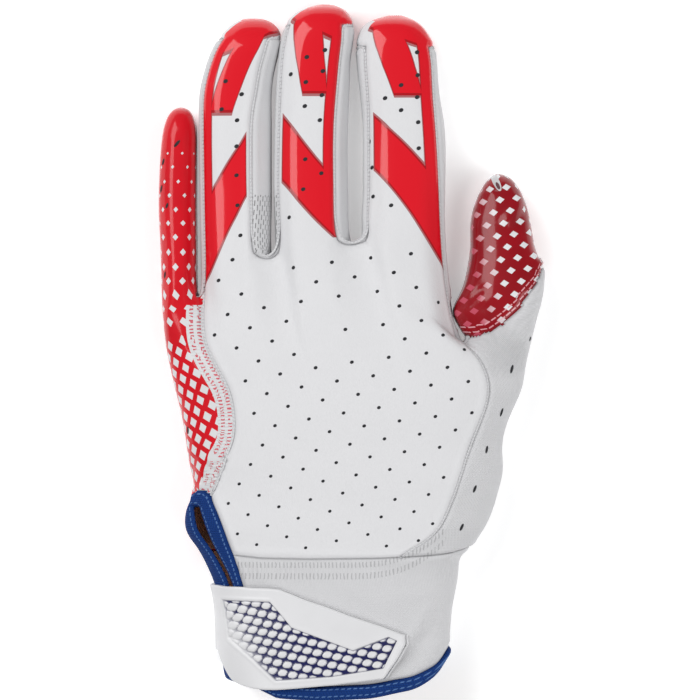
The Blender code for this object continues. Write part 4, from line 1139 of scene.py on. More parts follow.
def strap_surface(reach, y, offset):
    """Points `offset` outside the cuff: straight across the back of the wrist, round its
    side at even angles, and on under it."""
    left, right, low, high = wrist_section(y, np.maximum(0.0, reach) * STRAP_SPAN)
    left, right = left - offset, right + offset
    low, high = low - offset, high + offset
    mid, half = (left + right) / 2, (right - left) / 2
    begin = STRAP_TURN.width * half
    top, foot = STRAP_TURN.top, STRAP_TURN.foot
    over = blend(left + begin, left + STRAP_LENGTH, (reach - top) / (1.0 - top))
    under = mid - half * STRAP_FOOT + (foot - reach) / (1.0 + foot) * STRAP_ROOT * half
    share = np.clip((top - reach) / (top - foot), 0.0, 1.0)
    angle = blend(angle_of(1.0 - begin / half, ARCH_POWER),
                  -angle_of(STRAP_FOOT, PALM_POWER), share)
    u, z = side_point(angle, low, high)
    x = np.where(reach >= top, over, np.where(reach <= foot, under, mid - half * u))
    z = np.where(reach >= top, arch((over - mid) / half, low, high),
                 np.where(reach <= foot, underside((under - mid) / half, low, high), z))
    lowest = -PALM_LENGTH - CUFF_LENGTH
    return np.stack([x, lowest + y, z], axis=-1) + np.array(ORIGIN)


def outline_distance(across, up, corners):
    """Signed distance to a polygon's outline, positive inside: the least distance to its
    sides, with the sign of an even-odd test."""
    best = np.full(across.shape, 1.0)
    inside = np.zeros(across.shape, bool)
    for a, b in zip(corners, np.roll(corners, -1, axis=0)):
        line = b - a
        share = np.clip(((across - a[0]) * line[0] + (up - a[1]) * line[1]) / (line @ line),
                        0, 1)
        best = np.minimum(best, np.hypot(across - a[0] - share * line[0],
                                         up - a[1] - share * line[1]))
        crosses = (a[1] > up) != (b[1] > up)
        rise = np.where(np.abs(line[1]) > 1e-12, line[1], 1e-12)
        inside ^= crosses & (across < a[0] + (up - a[1]) / rise * line[0])
    return np.where(inside, best, -best)


StrapGrid = namedtuple("StrapGrid", "back_columns turn_columns rows")
STRAP_GRID = StrapGrid(236, 50, 140)
CELL_STEP = (9.6, -2.0)    # from one raised cell to the next, in PITCH units
CELL_RISE = (-5.0, -8.0)
CELL_START = (4.0, 3.0)


def strap_mesh(look):
    """The strap as a sheet over reach and height: rounded edges, a sunken field with
    domed cells, and a plain underside. Returns points, faces and the cells' mask."""
    turn = np.linspace(-1.0, 0.0, STRAP_GRID.turn_columns, endpoint=False)
    reach = np.concatenate([turn, np.linspace(0.0, 1.0, STRAP_GRID.back_columns)])
    stations = read(STRAP)
    low, high = (np.interp(reach, stations.reach, edge) for edge in
                 (stations.low, stations.high))
    soft = np.hanning(9)[1:-1] / np.hanning(9)[1:-1].sum()
    low, high = (np.convolve(np.pad(edge, 3, mode="edge"), soft, "valid")
                 for edge in (low, high))
    share = np.linspace(0.0, 1.0, STRAP_GRID.rows)
    height = blend(low[:, None], high[:, None], share) * STRAP_HEIGHT
    reach = reach[:, None] + 0 * height
    across = reach * STRAP_LENGTH
    edge = np.minimum(height - low[:, None] * STRAP_HEIGHT,
                      high[:, None] * STRAP_HEIGHT - height)
    edge = np.minimum(edge, STRAP_LENGTH - across)
    bevel = look.strap_bevel
    near = np.clip(1.0 - edge / bevel, 0.0, 1.0)
    top = STRAP_WALL - bevel * (1.0 - np.sqrt(1.0 - near ** 2))

    corners = read(FIELD)
    outline = np.stack([corners.reach * STRAP_LENGTH, corners.height * STRAP_HEIGHT], -1)
    depth = outline_distance(across, height, outline)
    sunk = fade(depth, -0.0001, 0.0003)
    steps = np.array([CELL_STEP, CELL_RISE]).T * PITCH
    start = outline[0] + np.array(CELL_START) * PITCH
    place = np.linalg.inv(steps) @ np.stack([(across - start[0]).ravel(),
                                             (height - start[1]).ravel()])
    place = place - np.round(place)
    cell = (np.abs(place) ** 2.6).sum(axis=0) ** (1 / 2.6)
    cell = cell.reshape(across.shape)
    grow = blend(0.50, 0.405, fade(across, 0.004, 0.022))
    dome = np.sqrt(np.clip(1.0 - (cell / grow) ** 3, 0.0, 1.0))
    room = fade(depth, 0.0, 0.0008)
    top = top - FIELD_DEPTH * sunk + look.cell_height * dome * room
    rim = np.exp(-((depth + 0.0007) / 0.0005) ** 2)
    top = top + 0.00012 * rim
    ground = sunk * (1.0 - fade(dome * room, 0.10, 0.42))
    slope = across + 0.55 * (height - 0.98 * STRAP_HEIGHT)
    navy = ground * fade(slope, -0.001, 0.007)

    outer = strap_surface(reach, height, STRAP_CLEARANCE + top)
    inner = strap_surface(reach, height, STRAP_CLEARANCE + 0 * top)
    shape = outer.shape[:2]
    ids = np.arange(outer[..., 0].size).reshape(shape)
    below = ids + ids.size

    def sheet(grid):
        return np.stack([grid[:-1, :-1], grid[:-1, 1:], grid[1:, 1:], grid[1:, :-1]],
                        -1).reshape(-1, 4)

    loop = np.concatenate([ids[:-1, 0], ids[-1, :-1], ids[:0:-1, -1], ids[0, :0:-1]])
    nxt = np.roll(loop, -1)
    rim_faces = np.stack([loop, nxt, nxt + ids.size, loop + ids.size], -1)
    faces = np.concatenate([sheet(ids)[:, ::-1], sheet(below), rim_faces])
    points = np.concatenate([outer.reshape(-1, 3), inner.reshape(-1, 3)])
    mask = np.concatenate([navy.ravel(), np.zeros(ids.size)])
    return points, faces.tolist(), mask


# ---- Materials


class Value:
    """A number in a material. Sums with it add the Math nodes that work them out."""

    def __init__(self, finish, socket):
        self.finish = finish
        self.socket = socket

    def math(self, operation, *others, first=None, clamp=False):
        terms = (self, *others) if first is None else (first, self)
        made = self.finish.add("ShaderNodeMath", {"operation": operation,
                                                  "use_clamp": clamp},
                               dict(enumerate(terms)))
        return Value(self.finish, made.outputs[0])

    def __add__(self, other):
        return self.math("ADD", other)

    def __sub__(self, other):
        return self.math("SUBTRACT", other)

    def __mul__(self, other):
        return self.math("MULTIPLY", other)

    def __truediv__(self, other):
        return self.math("DIVIDE", other)

    def __pow__(self, other):
        return self.math("POWER", other)

    def __rsub__(self, other):
        return self.math("SUBTRACT", first=other)

    __radd__ = __add__
    __rmul__ = __mul__

    def __lt__(self, other):
        return self.math("LESS_THAN", other)

    def __gt__(self, other):
        return self.math("GREATER_THAN", other)

    def least(self, other):
        return self.math("MINIMUM", other)

    def most(self, other):
        return self.math("MAXIMUM", other)

    def size(self):
        return self.math("ABSOLUTE")

    def sine(self):
        return self.math("SINE")

    def part(self):
        """What is left over the whole number below."""
        return self.math("FRACT")

    def whole(self):
        return self.math("FLOOR")

    def held(self):
        """Kept between 0 and 1."""
        return self.math("ADD", 0.0, clamp=True)


class Finish:
    """One material and the nodes that give its colour, gloss and grain."""

    def __init__(self, name, roughness=0.6, **fixed):
        self.made = bpy.data.materials.new(name)
        self.made.use_nodes = True
        self.tree = self.made.node_tree
        self.shader = self.tree.nodes["Principled BSDF"]
        self.shader.inputs["Roughness"].default_value = roughness
        for key, amount in fixed.items():
            self.shader.inputs[key.replace("_", " ")].default_value = amount

    def add(self, kind, settings, inputs):
        """Any node: its settings first, then a value or a link for each named input."""
        node = self.tree.nodes.new(kind)
        for key, setting in settings.items():
            setattr(node, key, setting)
        for key, given in inputs.items():
            socket = getattr(given, "socket", given)
            if isinstance(socket, bpy.types.NodeSocket):
                self.tree.links.new(socket, node.inputs[key])
            else:
                node.inputs[key].default_value = given
        return node

    def place(self):
        """Place in the frame: x, y and z."""
        made = self.add("ShaderNodeTexCoord", {}, {})
        split = self.add("ShaderNodeSeparateXYZ", {}, {0: made.outputs["Object"]})
        return [Value(self, split.outputs[i]) for i in range(3)]

    def chart(self, name):
        """The two numbers of one of the piece's own maps."""
        made = self.add("ShaderNodeUVMap", {"uv_map": name}, {})
        split = self.add("ShaderNodeSeparateXYZ", {}, {0: made.outputs[0]})
        return [Value(self, split.outputs[i]) for i in range(2)]

    def amount(self, name):
        """A number kept on the piece's own points."""
        made = self.add("ShaderNodeAttribute", {"attribute_name": name}, {})
        return Value(self, made.outputs["Fac"])

    def noise(self, x, y, z, scale, detail=2.0):
        """Soft random values from 0 to 1 over a place."""
        point = self.add("ShaderNodeCombineXYZ", {}, {0: x, 1: y, 2: z})
        made = self.add("ShaderNodeTexNoise", {}, {"Vector": point.outputs[0],
                                                   "Scale": scale, "Detail": detail})
        return Value(self, made.outputs[0])

    def mix(self, one, other, share):
        """Colour between two colours."""
        made = self.add("ShaderNodeMix", {"data_type": "RGBA"}, {0: share, 6: one, 7: other})
        return made.outputs[2]

    def colour(self, given):
        self.put("Base Color", given)

    def put(self, name, given):
        """A value or link for one of the shader's sockets."""
        socket = getattr(given, "socket", given)
        if isinstance(socket, bpy.types.NodeSocket):
            self.tree.links.new(socket, self.shader.inputs[name])
        else:
            self.shader.inputs[name].default_value = given

    def grain(self, height, strength, distance):
        """Relief from a height in units of distance."""
        made = self.add("ShaderNodeBump", {}, {"Strength": strength, "Distance": distance,
                                               "Height": height})
        self.tree.links.new(made.outputs[0], self.shader.inputs["Normal"])


# Seams get painted shade in their grooves, out to this reach
SEAM_SHADE_REACH = 0.0007                   # reach of the shade along a seam
THREAD_ROWS = (0.0013, 0.0030)    # distances of the printed thread rows from a seam
THREAD_HALF = 0.00022             # half their width
RIBS = (0.0520, -0.0010, 0.010)   # middle and reach of the gusset's slanting ribs
# Grey of the painted seam shade, on the knit and on the back panel
KNIT_SEAM_SHADE = (0.28, 0.28, 0.29, 1.0)
BACK_SEAM_SHADE = (0.30, 0.30, 0.31, 1.0)
DASH_RED = (0.60, 0.20, 0.24, 1.0)
# Pink of the painted shade on the thumb's left rhombi
SHADED_RHOMBUS_PINK = (0.50, 0.07, 0.11, 1.0)
THREAD_PINK = (0.74, 0.36, 0.40, 1.0)
THREAD_BLUE = (0.10, 0.20, 0.42, 1.0)
# Painted shadow in the opening of the thumb's fold
FOLD_SHADOW = (0.12, 0.05, 0.06, 1.0)
# Near-black of the painted shadow inside the air holes and slits
PIT_SHADOW = (0.006, 0.006, 0.008, 1.0)
PIT_SHADOW_PALE = (0.03, 0.03, 0.035, 1.0)


def shade(colour, factor):
    """A colour made lighter or darker."""
    return (*(min(1.0, c * factor) for c in colour[:3]), 1.0)


def seam_shade(finish):
    """Strength of the painted shade in a seam's groove: 0.5 on the seam, none from the shade's
    reach away.
    """
    return (1.0 - finish.amount("seam") / SEAM_SHADE_REACH).held() * 0.5


def knit_height(finish, u, v, wale, course):
    """Height of knitted loops: columns of slanting stitches, a sine across each column
    plus one that runs down both its legs."""
    column_share = (u / wale).part() - 0.5
    legs = ((v / course + column_share.size() * 1.4) * (2 * math.pi)).sine()
    return legs * 0.35 + (column_share.size() * (2 * math.pi)).sine() * 0.5


def diamonds(u, v, wide, tall, squat):
    """Distance from the nearest centre of a staggered lattice, sideways plus squat times
    upwards, so that all within a given distance is a rhombus, and that centre's height."""
    p = (u / wide + v / tall).part() - 0.5
    q = (u / wide - v / tall).part() - 0.5
    near = ((p + q) * (wide / 2)).size() + ((p - q) * (tall / 2 * squat)).size()
    return near, v - (p - q) * (tall / 2)


def dashes(turns, half):
    """1 round the middle of each whole turn, up to half on both sides, and 0 between."""
    return (turns.part() - 0.5).size() < half

def pucker_shadows(finish, x, y, z):
    """1 on the short stitches that hold the cuff's gathers, in two rows whose height is the cube
    of the way to the right, and 0 beside them. The finishes paint the shadow of their pits there."""
    rise = ((x / PITCH + 10.0) / 100.0).most(0.0)
    row = y / PITCH + 213.0 - rise * rise * rise * 32.0
    tick = dashes(x / 0.0013 + finish.noise(x, y, z, 500.0) * 0.8, 0.16)
    upper, lower = row.size() < 2.8, (row + 11.0).size() < 3.0
    return upper.most(lower) * tick * (x < 0.0325) * (x > -0.0405)


def back_finish(look):
    """Smooth white stretch cloth with fine upright grain, and glossy printed wedges."""
    finish = Finish("white_stretch_cloth", Coat_Roughness=0.08, Coat_IOR=1.4,
                    Specular_IOR_Level=0.1)
    x, y, z = finish.place()
    across, along = finish.chart("digit")
    digit = (across / 2.0).whole()
    share = across - digit * 2.0
    outer = finish.add("ShaderNodeMix", {"data_type": "FLOAT"},
                       {0: digit < 1.5, 2: share, 3: 1.0 - share})
    w = Value(finish, outer.outputs[0])
    foot = (digit > 2.5) * WEDGE_FOOT
    along = (along - foot) / (1.0 - foot)
    red = None
    for shape in WEDGES:
        lines = [w * line.by_w + along * line.by_along + line.offset for line in shape]
        inside = lines[0]
        for line in lines[1:]:
            inside = inside.least(line)
        red = inside if red is None else red.most(inside)
    spike = ((digit - 2.0).size() < 0.5) * (along < 0.010)
    on_finger = (digit > 0.5) * (digit < 3.5) * (share < 1.3) * (1.0 - spike)
    printed = (red > 0.0) * on_finger
    line = (red.size() < 0.011) * on_finger
    fine = finish.noise(x * 9.0, y * 1.2, z * 9.0, 700.0)
    soft = finish.noise(x, y, z, 42.0)
    white = finish.mix(shade(look.white, 0.93), look.white, fine)
    white = finish.mix(white, shade(look.white, 0.90), (soft - 0.5).held() * 0.8)
    colour = finish.mix(white, look.red, printed)
    colour = finish.mix(colour, shade(look.red, 0.45), line * 0.8)
    # Grey dashes at the gathers' stitches: painted shadow of their pits
    threads = pucker_shadows(finish, x, y, z)
    colour = finish.mix(colour, shade(look.white, 0.5), threads * 0.6)
    # Painted shade in the seams' grooves
    finish.colour(finish.mix(colour, BACK_SEAM_SHADE, seam_shade(finish)))
    finish.put("Roughness", 0.62 - printed * 0.10)
    finish.put("Coat Weight", printed)
    finish.grain(fine * (1.0 - printed), 0.35, 0.0003)
    return finish.made


def palm_finish(look):
    """Glossy red grip cloth with printed white rhombi that grow towards the wrist, and a
    band of white seam threads beside the back panel."""
    finish = Finish("red_grip_cloth", Coat_Roughness=0.12, Coat_IOR=1.4, Specular_IOR_Level=0.1)
    x, y, z = finish.place()
    u, v = finish.chart("cloth")
    near, height = diamonds(u, v, 0.00536, 0.00970, 0.88)
    size = (0.00158 - (height + 0.030) * 0.0170).least(0.00160)
    upper = (near < size) * (height > LATTICE_CHANGE + 0.0012) * (height < 0.036)
    near, height = diamonds(u, v + u * 0.3, 0.0064, 0.0056, 0.9)
    lower = (near < 0.00166) * (height - u * 0.3 < LATTICE_CHANGE - 0.0008)
    white = upper.most(lower)
    zone, run = finish.amount("zone"), finish.amount("run")
    band = (zone < ZONE_WIDTH) * (y < ZONE_TOP)
    wobble = finish.noise(x, y, z, 500.0)
    tick = dashes(run / 0.00125 + wobble * 1.1, 0.20)
    rows = ((zone / 0.0026 + 0.05).part() - 0.60).size() < 0.27
    dash = band * tick * rows * (wobble > 0.40)
    white = (white * (1.0 - band)).most(band * (1.0 - dash))
    soft = finish.noise(x, y, z, 60.0)
    red = finish.mix(look.red, shade(look.red, 0.72), soft)
    pale = finish.mix(look.white, shade(look.white, 0.85), soft)
    colour = finish.mix(red, pale, white)
    finish.colour(finish.mix(colour, DASH_RED, dash * wobble))
    finish.put("Roughness", 0.5 + white * 0.1)
    finish.put("Coat Weight", 0.75 - white * 0.45)
    fine = finish.noise(x, y, z, 1800.0)
    thread = band * ((run * (2 * math.pi / 0.00115)).sine() + wobble)
    finish.grain(white * 0.5 + fine * 0.3 + thread * 0.9, 0.5, 0.0002)
    return finish.made


def shell_finish(look):
    """Darker glossy grip cloth of the thumb with printed pale rhombi, painted shade on its left.
    """
    finish = Finish("thumb_grip_cloth", Coat_Roughness=0.12, Coat_IOR=1.4, Specular_IOR_Level=0.1)
    x, y, z = finish.place()
    outwards = ((x - THUMB_MIDDLE) / 0.004).most(-1.0).least(1.0)
    flat_x = x + outwards * (THUMB_TOP - z).most(0.0) * 0.8
    near, _ = diamonds(flat_x + y * 0.15, y - x * 0.12, 0.0059, 0.0083, 1.3)
    soft = finish.noise(x, y, z, 90.0)
    white = near < 0.00160
    side, down = x - THUMB_FOLD[0], y - THUMB_FOLD[1]
    down, side = down * 0.92 - side * 0.40, side * 0.92 + down * 0.40
    notch = (side / 0.0012) ** 2 + (down / 0.0036) ** 2 < 1.0
    # Dark spot in the notch: painted shadow in the fold's opening
    dark = (side / 0.0006) ** 2 + ((down + 0.0016) / 0.0014) ** 2 < 1.0
    seam = finish.amount("seam")
    tick = dashes((x + y) / 0.0034, 0.38)
    first, second = ((seam - at).size() < THREAD_HALF for at in THREAD_ROWS)
    thread = tick * first.most(second) * (y < 0.036) * (x > 0.036)
    red = finish.mix(look.thumb_red, shade(look.thumb_red, 0.6), soft)
    # The pale rhombi turn pink towards the left: painted shade on that side
    pale = finish.mix(SHADED_RHOMBUS_PINK, look.white, (x - 0.0455 + y * 0.1) / 0.009)
    colour = finish.mix(red, pale, white)
    colour = finish.mix(colour, THREAD_PINK, thread * 0.85)
    colour = finish.mix(colour, shade(look.white, 0.8), notch)
    finish.colour(finish.mix(colour, FOLD_SHADOW, dark))
    finish.put("Roughness", 0.5 + white * 0.1)
    finish.put("Coat Weight", 0.8 - white * 0.3)
    finish.grain(white * 0.5 + soft * 0.6, 0.4, 0.0002)
    return finish.made


def knit_finish(name, colour, wale, course, strength):
    """Matt knit: loops in columns, a little darker between them with painted shade."""
    finish = Finish(name, roughness=0.85, Sheen_Weight=0.25)
    x, y, z = finish.place()
    u, v = finish.chart("cloth")
    height = knit_height(finish, u, v, wale, course)
    soft = finish.noise(x, y, z, 55.0)
    # Darker where the loops lie low: painted shade between them, plus random tone
    dark = (0.5 - height).held() * 0.35 + soft * 0.15
    ribs = ((x + y) * (2 * math.pi / 0.00075)).sine()
    near = (1.0 - ((x - RIBS[0]) ** 2 + (y - RIBS[1]) ** 2) / RIBS[2] ** 2).held()
    knit = finish.mix(colour, shade(colour, 0.72), dark + near * (ribs * 0.2 + 0.1))
    # Grey dashes at the gathers' stitches: painted shadow of their pits
    threads = pucker_shadows(finish, x, y, z)
    knit = finish.mix(knit, shade(colour, 0.5), threads * 0.6)
    # Painted shade in the seams' grooves
    finish.colour(finish.mix(knit, KNIT_SEAM_SHADE, seam_shade(finish)))
    finish.grain(height + near * ribs * 1.5, strength, 0.0003)
    return finish.made


def mesh_finish(name, colour):
    """Smooth knit finger wall with rows of small dashes pierced near its foot, dark with painted
    shade, and painted shade between the loops.
    """
    finish = Finish(name, roughness=0.8, Sheen_Weight=0.25)
    x, y, z = finish.place()
    u, v = finish.chart("cloth")
    height = knit_height(finish, u, v, 0.0008, 0.0007)
    row = u / 0.00105
    shift = (row.whole() / 2.0).part()
    dash = dashes(v / 0.0030 + shift, 0.30)
    line = dashes(row, 0.17)
    foot = (y < 0.0535) * (y > 0.0335) * (x < -0.010) * (x > -0.040)
    hole = dash * line * foot
    soft = finish.noise(x, y, z, 55.0)
    # Darker where the loops lie low: painted shade between them, plus random tone
    plain = finish.mix(colour, shade(colour, 0.80), (0.5 - height).held() * 0.3 + soft * 0.3)
    # Painted shade in the seams' grooves
    plain = finish.mix(plain, KNIT_SEAM_SHADE, seam_shade(finish))
    # The pierced dashes are painted dark: painted shade inside them
    finish.colour(finish.mix(plain, shade(colour, 0.35), hole))
    finish.grain(height * 0.3 - hole * 1.5, 0.5, 0.0003)
    return finish.made


def tape_finish(look):
    """Royal-blue woven tape: fine ribs across it, darker between them with painted shade."""
    finish = Finish("blue_tape", roughness=0.8, Specular_IOR_Level=0.15)
    x, y, z = finish.place()
    u, v = finish.chart("cloth")
    rib = (u * (2 * math.pi / 0.00085)).sine() * 0.5 + (v * (2 * math.pi / 0.0007)).sine() * 0.5
    soft = finish.noise(x, y, z, 400.0)
    # Darker where the ribs lie low: painted shade between them, plus random tone
    blue = finish.mix(look.blue, shade(look.blue, 0.45), (0.5 - rib).held() * 0.5 + soft * 0.3)
    tick = dashes((x - y) / 0.0020, 0.30)
    thread = tick * ((finish.amount("seam") - THREAD_ROWS[0]).size() < THREAD_HALF)
    finish.colour(finish.mix(blue, THREAD_BLUE, thread * 0.8))
    finish.grain(rib + soft, 0.5, 0.0003)
    return finish.made


def strap_finish(look):
    """Satin moulded rubber, white, with a navy ground between the cells."""
    finish = Finish("moulded_rubber", Coat_Roughness=0.2)
    x, y, z = finish.place()
    navy = finish.amount("ground").held()
    soft = finish.noise(x, y, z, 120.0)
    white = finish.mix(look.white, shade(look.white, 0.92), soft)
    finish.colour(finish.mix(white, look.navy, navy))
    finish.put("Roughness", 0.42 - navy * 0.12)
    finish.put("Coat Weight", 0.12 + navy * 0.3)
    finish.grain(finish.noise(x, y, z, 2600.0), 0.12, 0.0002)
    return finish.made


def lining_finish(look):
    """Tan knitted inside of the glove."""
    finish = Finish("tan_inside", roughness=0.9)
    x, y, z = finish.place()
    weave = (x * (2 * math.pi / 0.0009)).sine() * (y * (2 * math.pi / 0.0009)).sine()
    soft = finish.noise(x, y, z, 300.0)
    finish.colour(finish.mix(look.tan, shade(look.tan, 0.6), soft * 0.6 + weave * 0.2 + 0.2))
    finish.grain(weave + soft, 0.4, 0.0003)
    return finish.made


def thread_finish(name, colour):
    """Twisted sewing thread."""
    finish = Finish(name, roughness=0.6, Sheen_Weight=0.2)
    x, y, z = finish.place()
    twist = finish.noise(x, y, z, 2400.0)
    finish.colour(finish.mix(colour, shade(colour, 0.75), twist))
    finish.grain(twist, 0.3, 0.0001)
    return finish.made


def pit_shadow_finish():
    """Dark inside of an air hole: painted shadow, as the cloth is not cut through."""
    finish = Finish("air_hole", roughness=0.9)
    x, y, z = finish.place()
    soft = finish.noise(x, y, z, 900.0)
    finish.colour(finish.mix(PIT_SHADOW, PIT_SHADOW_PALE, soft))
    return finish.made


def floor_finish(look):
    """Pale matt floor."""
    finish = Finish("floor", roughness=0.9)
    x, y, z = finish.place()
    soft = finish.noise(x, y, z, 3.0)
    finish.colour(finish.mix(look.floor, shade(look.floor, 0.99), soft))
    finish.put("Emission Color", look.floor)
    finish.put("Emission Strength", FLOOR_GLOW)
    return finish.made


# ---- What a user may change


def colour_property(name, description, default):
    return bpy.props.FloatVectorProperty(name=name, description=description, default=default,
                                         subtype="COLOR", size=4, min=0.0, max=1.0)


def length_property(name, description, default):
    return bpy.props.FloatProperty(name=name, description=description, default=default,
                                   subtype="DISTANCE", unit="LENGTH", min=0.0, precision=5)


class GloveLook(bpy.types.PropertyGroup):
    """Sizes and colours of the glove's finish."""

    cloth_wall: length_property("Cloth", "Thickness of the sewn panels", 0.0010)
    tape_wall: length_property("Tape", "Thickness of the folded tape", 0.0014)
    tape_rise: length_property("Tape rise", "How far the tape stands out", 0.0008)
    seam_depth: length_property("Seam depth", "How far seams draw the cloth in", 0.00060)
    piping: length_property("Piping", "Radius of the piping along the fingers", 0.00036)
    hole: length_property("Air hole", "Radius of an air hole", 0.00052)
    thread: length_property("Thread", "Radius of the sewing thread", 0.00017)
    strap_bevel: length_property("Strap edge", "Rounding of the strap's edges", 0.0007)
    cell_height: length_property("Cell height", "Rise of the strap's cells", 0.00055)
    fold_scale: bpy.props.FloatProperty(name="Folds", description="Strength of the folds",
                                        default=1.0, min=0.0, max=2.0)
    white: colour_property("White", "Back panel and strap", (0.71, 0.71, 0.725, 1.0))
    knit: colour_property("Knit", "Finger walls, gusset and cuff", (0.63, 0.63, 0.645, 1.0))
    red: colour_property("Red", "Grip cloth and printed wedges", (0.68, 0.003, 0.013, 1.0))
    thumb_red: colour_property("Thumb red", "Grip cloth of the thumb",
                               (0.33, 0.001, 0.008, 1.0))
    blue: colour_property("Blue", "Tape at the hem and the slit", (0.006, 0.042, 0.21, 1.0))
    navy: colour_property("Navy", "Ground of the strap's field", (0.0015, 0.003, 0.07, 1.0))
    tan: colour_property("Tan", "Inside of the glove", (0.80, 0.47, 0.32, 1.0))
    floor: colour_property("Floor", "Floor", (0.95, 0.95, 0.95, 1.0))
    camera_distance: length_property("Camera", "Height of the camera over the glove", 1.682)


def look_of(context):
    return context.scene.glove_look


def lining(look):
    """The inside's material, made once."""
    return bpy.data.materials.get("tan_inside") or lining_finish(look)


class GLOVE_OT_back(bpy.types.Operator):
    """Back panel of smooth stretch cloth"""

    bl_idname = "glove.back"
    bl_label = "Back panel"

    def execute(self, context):
        look = look_of(context)
        panel_piece(make_skin(look), BACK, [back_finish(look), lining(look)],
                    look.cloth_wall)
        return {"FINISHED"}


class GLOVE_OT_palm(bpy.types.Operator):
    """Palm panel of grip cloth, which wraps the little finger and the hand's outer side"""

    bl_idname = "glove.palm"
    bl_label = "Palm panel"

    def execute(self, context):
        look = look_of(context)
        panel_piece(make_skin(look), PALM, [palm_finish(look), lining(look)],
                    look.cloth_wall)
        return {"FINISHED"}


class GLOVE_OT_thumb(bpy.types.Operator):
    """Grip shell of the thumb and the knit gusset under it"""

    bl_idname = "glove.thumb"
    bl_label = "Thumb"

    def execute(self, context):
        look = look_of(context)
        skin = make_skin(look)
        panel_piece(skin, SHELL, [shell_finish(look), lining(look)], look.cloth_wall)
        knit = knit_finish("gusset_knit", look.knit, 0.0011, 0.0009, 0.5)
        panel_piece(skin, GUSSET, [knit, lining(look)], look.cloth_wall)
        return {"FINISHED"}


class GLOVE_OT_sides(bpy.types.Operator):
    """Knit walls between the fingers"""

    bl_idname = "glove.sides"
    bl_label = "Finger walls"

    def execute(self, context):
        look = look_of(context)
        knit = mesh_finish("side_knit", look.knit)
        for index in range(THUMB):
            panel_piece(make_skin(look), SIDE_FIRST + index, [knit, lining(look)],
                        look.cloth_wall)
        return {"FINISHED"}


class GLOVE_OT_cuff(bpy.types.Operator):
    """Knit cuff and the tape round its hem and slit"""

    bl_idname = "glove.cuff"
    bl_label = "Cuff and tape"

    def execute(self, context):
        look = look_of(context)
        skin = make_skin(look)
        knit = knit_finish("cuff_knit", look.knit, 0.0009, 0.0008, 0.4)
        panel_piece(skin, CUFF, [knit, lining(look)], look.cloth_wall)
        tape = tape_finish(look)
        panel_piece(skin, TAPE, [tape, tape], look.tape_wall)
        return {"FINISHED"}


class GLOVE_OT_strap(bpy.types.Operator):
    """Moulded wrist strap with its field of raised cells"""

    bl_idname = "glove.strap"
    bl_label = "Strap"

    def execute(self, context):
        look = look_of(context)
        points, faces, mask = strap_mesh(look)
        new_piece("strap", points, faces, [strap_finish(look)],
                  replaced=["strap"], values={"ground": mask})
        return {"FINISHED"}


PIPING_STEP = 0.0009       # between the stations of the piping

class GLOVE_OT_piping(bpy.types.Operator):
    """Thin piping along the edges of the fingers' backs"""

    bl_idname = "glove.piping"
    bl_label = "Piping"

    def execute(self, context):
        look = look_of(context)
        skin = make_skin(look)
        parts = []
        for other in [*range(SIDE_FIRST, SIDE_FIRST + THUMB), PALM, GUSSET]:
            for chain in border_chains(skin, BACK, other):
                place, _, normal = walk(skin.points[chain], skin.normals[chain], PIPING_STEP)
                if len(place) > 4:
                    ends = np.minimum(np.arange(len(place)), np.arange(len(place))[::-1])
                    radii = look.piping * np.clip((ends + 0.3) / 2.5, 0.15, 1.0)
                    parts.append(tube(place + normal * 0.00008, normal, radii))
        points, faces = join(parts)
        new_piece("piping", points, faces, [thread_finish("piping_cloth", look.white)])
        return {"FINISHED"}


class GLOVE_OT_seams(bpy.types.Operator):
    """Rows of stitches along the seams"""

    bl_idname = "glove.seams"
    bl_label = "Stitches"

    def execute(self, context):
        look = look_of(context)
        skin = make_skin(look)
        white = []
        for row in STITCH_ROWS:
            for chain in border_chains(skin, row.one, row.other):
                place, forward, normal = walk(skin.points[chain], skin.normals[chain],
                                              row.pitch)
                if len(place) > 4:
                    side = unit(np.cross(forward, normal)) * side_of(
                        skin, chain, row.one, forward)
                    turn = math.radians(row.turn)
                    along = unit(forward * math.cos(turn) + side * math.sin(turn))
                    place = place + side * row.aside + normal * row.above
                    white.append(stitch_mesh(place, along, normal, row.length,
                                             look.thread))
        points, faces = join(white)
        new_piece("white_stitches", points, faces,
                  [thread_finish("white_thread", shade(look.white, 0.9))])
        return {"FINISHED"}


class GLOVE_OT_holes(bpy.types.Operator):
    """Air holes in the back and slits in the grip cloth and gusset"""

    bl_idname = "glove.holes"
    bl_label = "Air holes"

    def execute(self, context):
        look = look_of(context)
        skin = make_skin(look)
        grid = HoleGrid(*np.array(HOLE_GRID))
        i, j = (n.reshape(-1, 1) for n in np.meshgrid(np.arange(*HOLE_COLUMNS),
                                                      np.arange(*HOLE_ROWS)))
        spot = (grid.start + i * grid.across + j * grid.down + i * j * grid.bend_both
                + i * i * grid.bend_across + j * j * grid.bend_down)
        spot = spot[(spot[:, 1] > HOLE_FLOOR) & (spot[:, 1] < HOLE_TOP)]
        place, normal, gap, seam = on_skin(skin, spot * PITCH, [BACK])
        keep = (gap < HOLE_MISS) & (seam > HOLE_EDGE)
        first = on_skin(skin, np.array(FINGER_HOLES) * PITCH, [BACK])
        place = np.concatenate([place[keep], first[0]])
        normal = np.concatenate([normal[keep], first[1]])
        radii = look.hole * (HOLE_SCALE + place[:, 1] / HOLE_GROWTH)
        parts = [disc_mesh(place, normal, radii, HOLE_STRETCH, HOLE_TURN)]
        for vent in VENTS:
            at, up, _, _ = on_skin(skin, np.array([[vent.x, vent.y]]) * PITCH, [PALM, GUSSET])
            stretch = vent.length * PITCH / 2 / look.hole
            parts.append(disc_mesh(at, up, look.hole, stretch, math.radians(vent.turn)))
        points, faces = join(parts)
        # Holes and slits as dark discs: painted shadow of their insides
        new_piece("air_holes", points, faces, [pit_shadow_finish()])
        return {"FINISHED"}


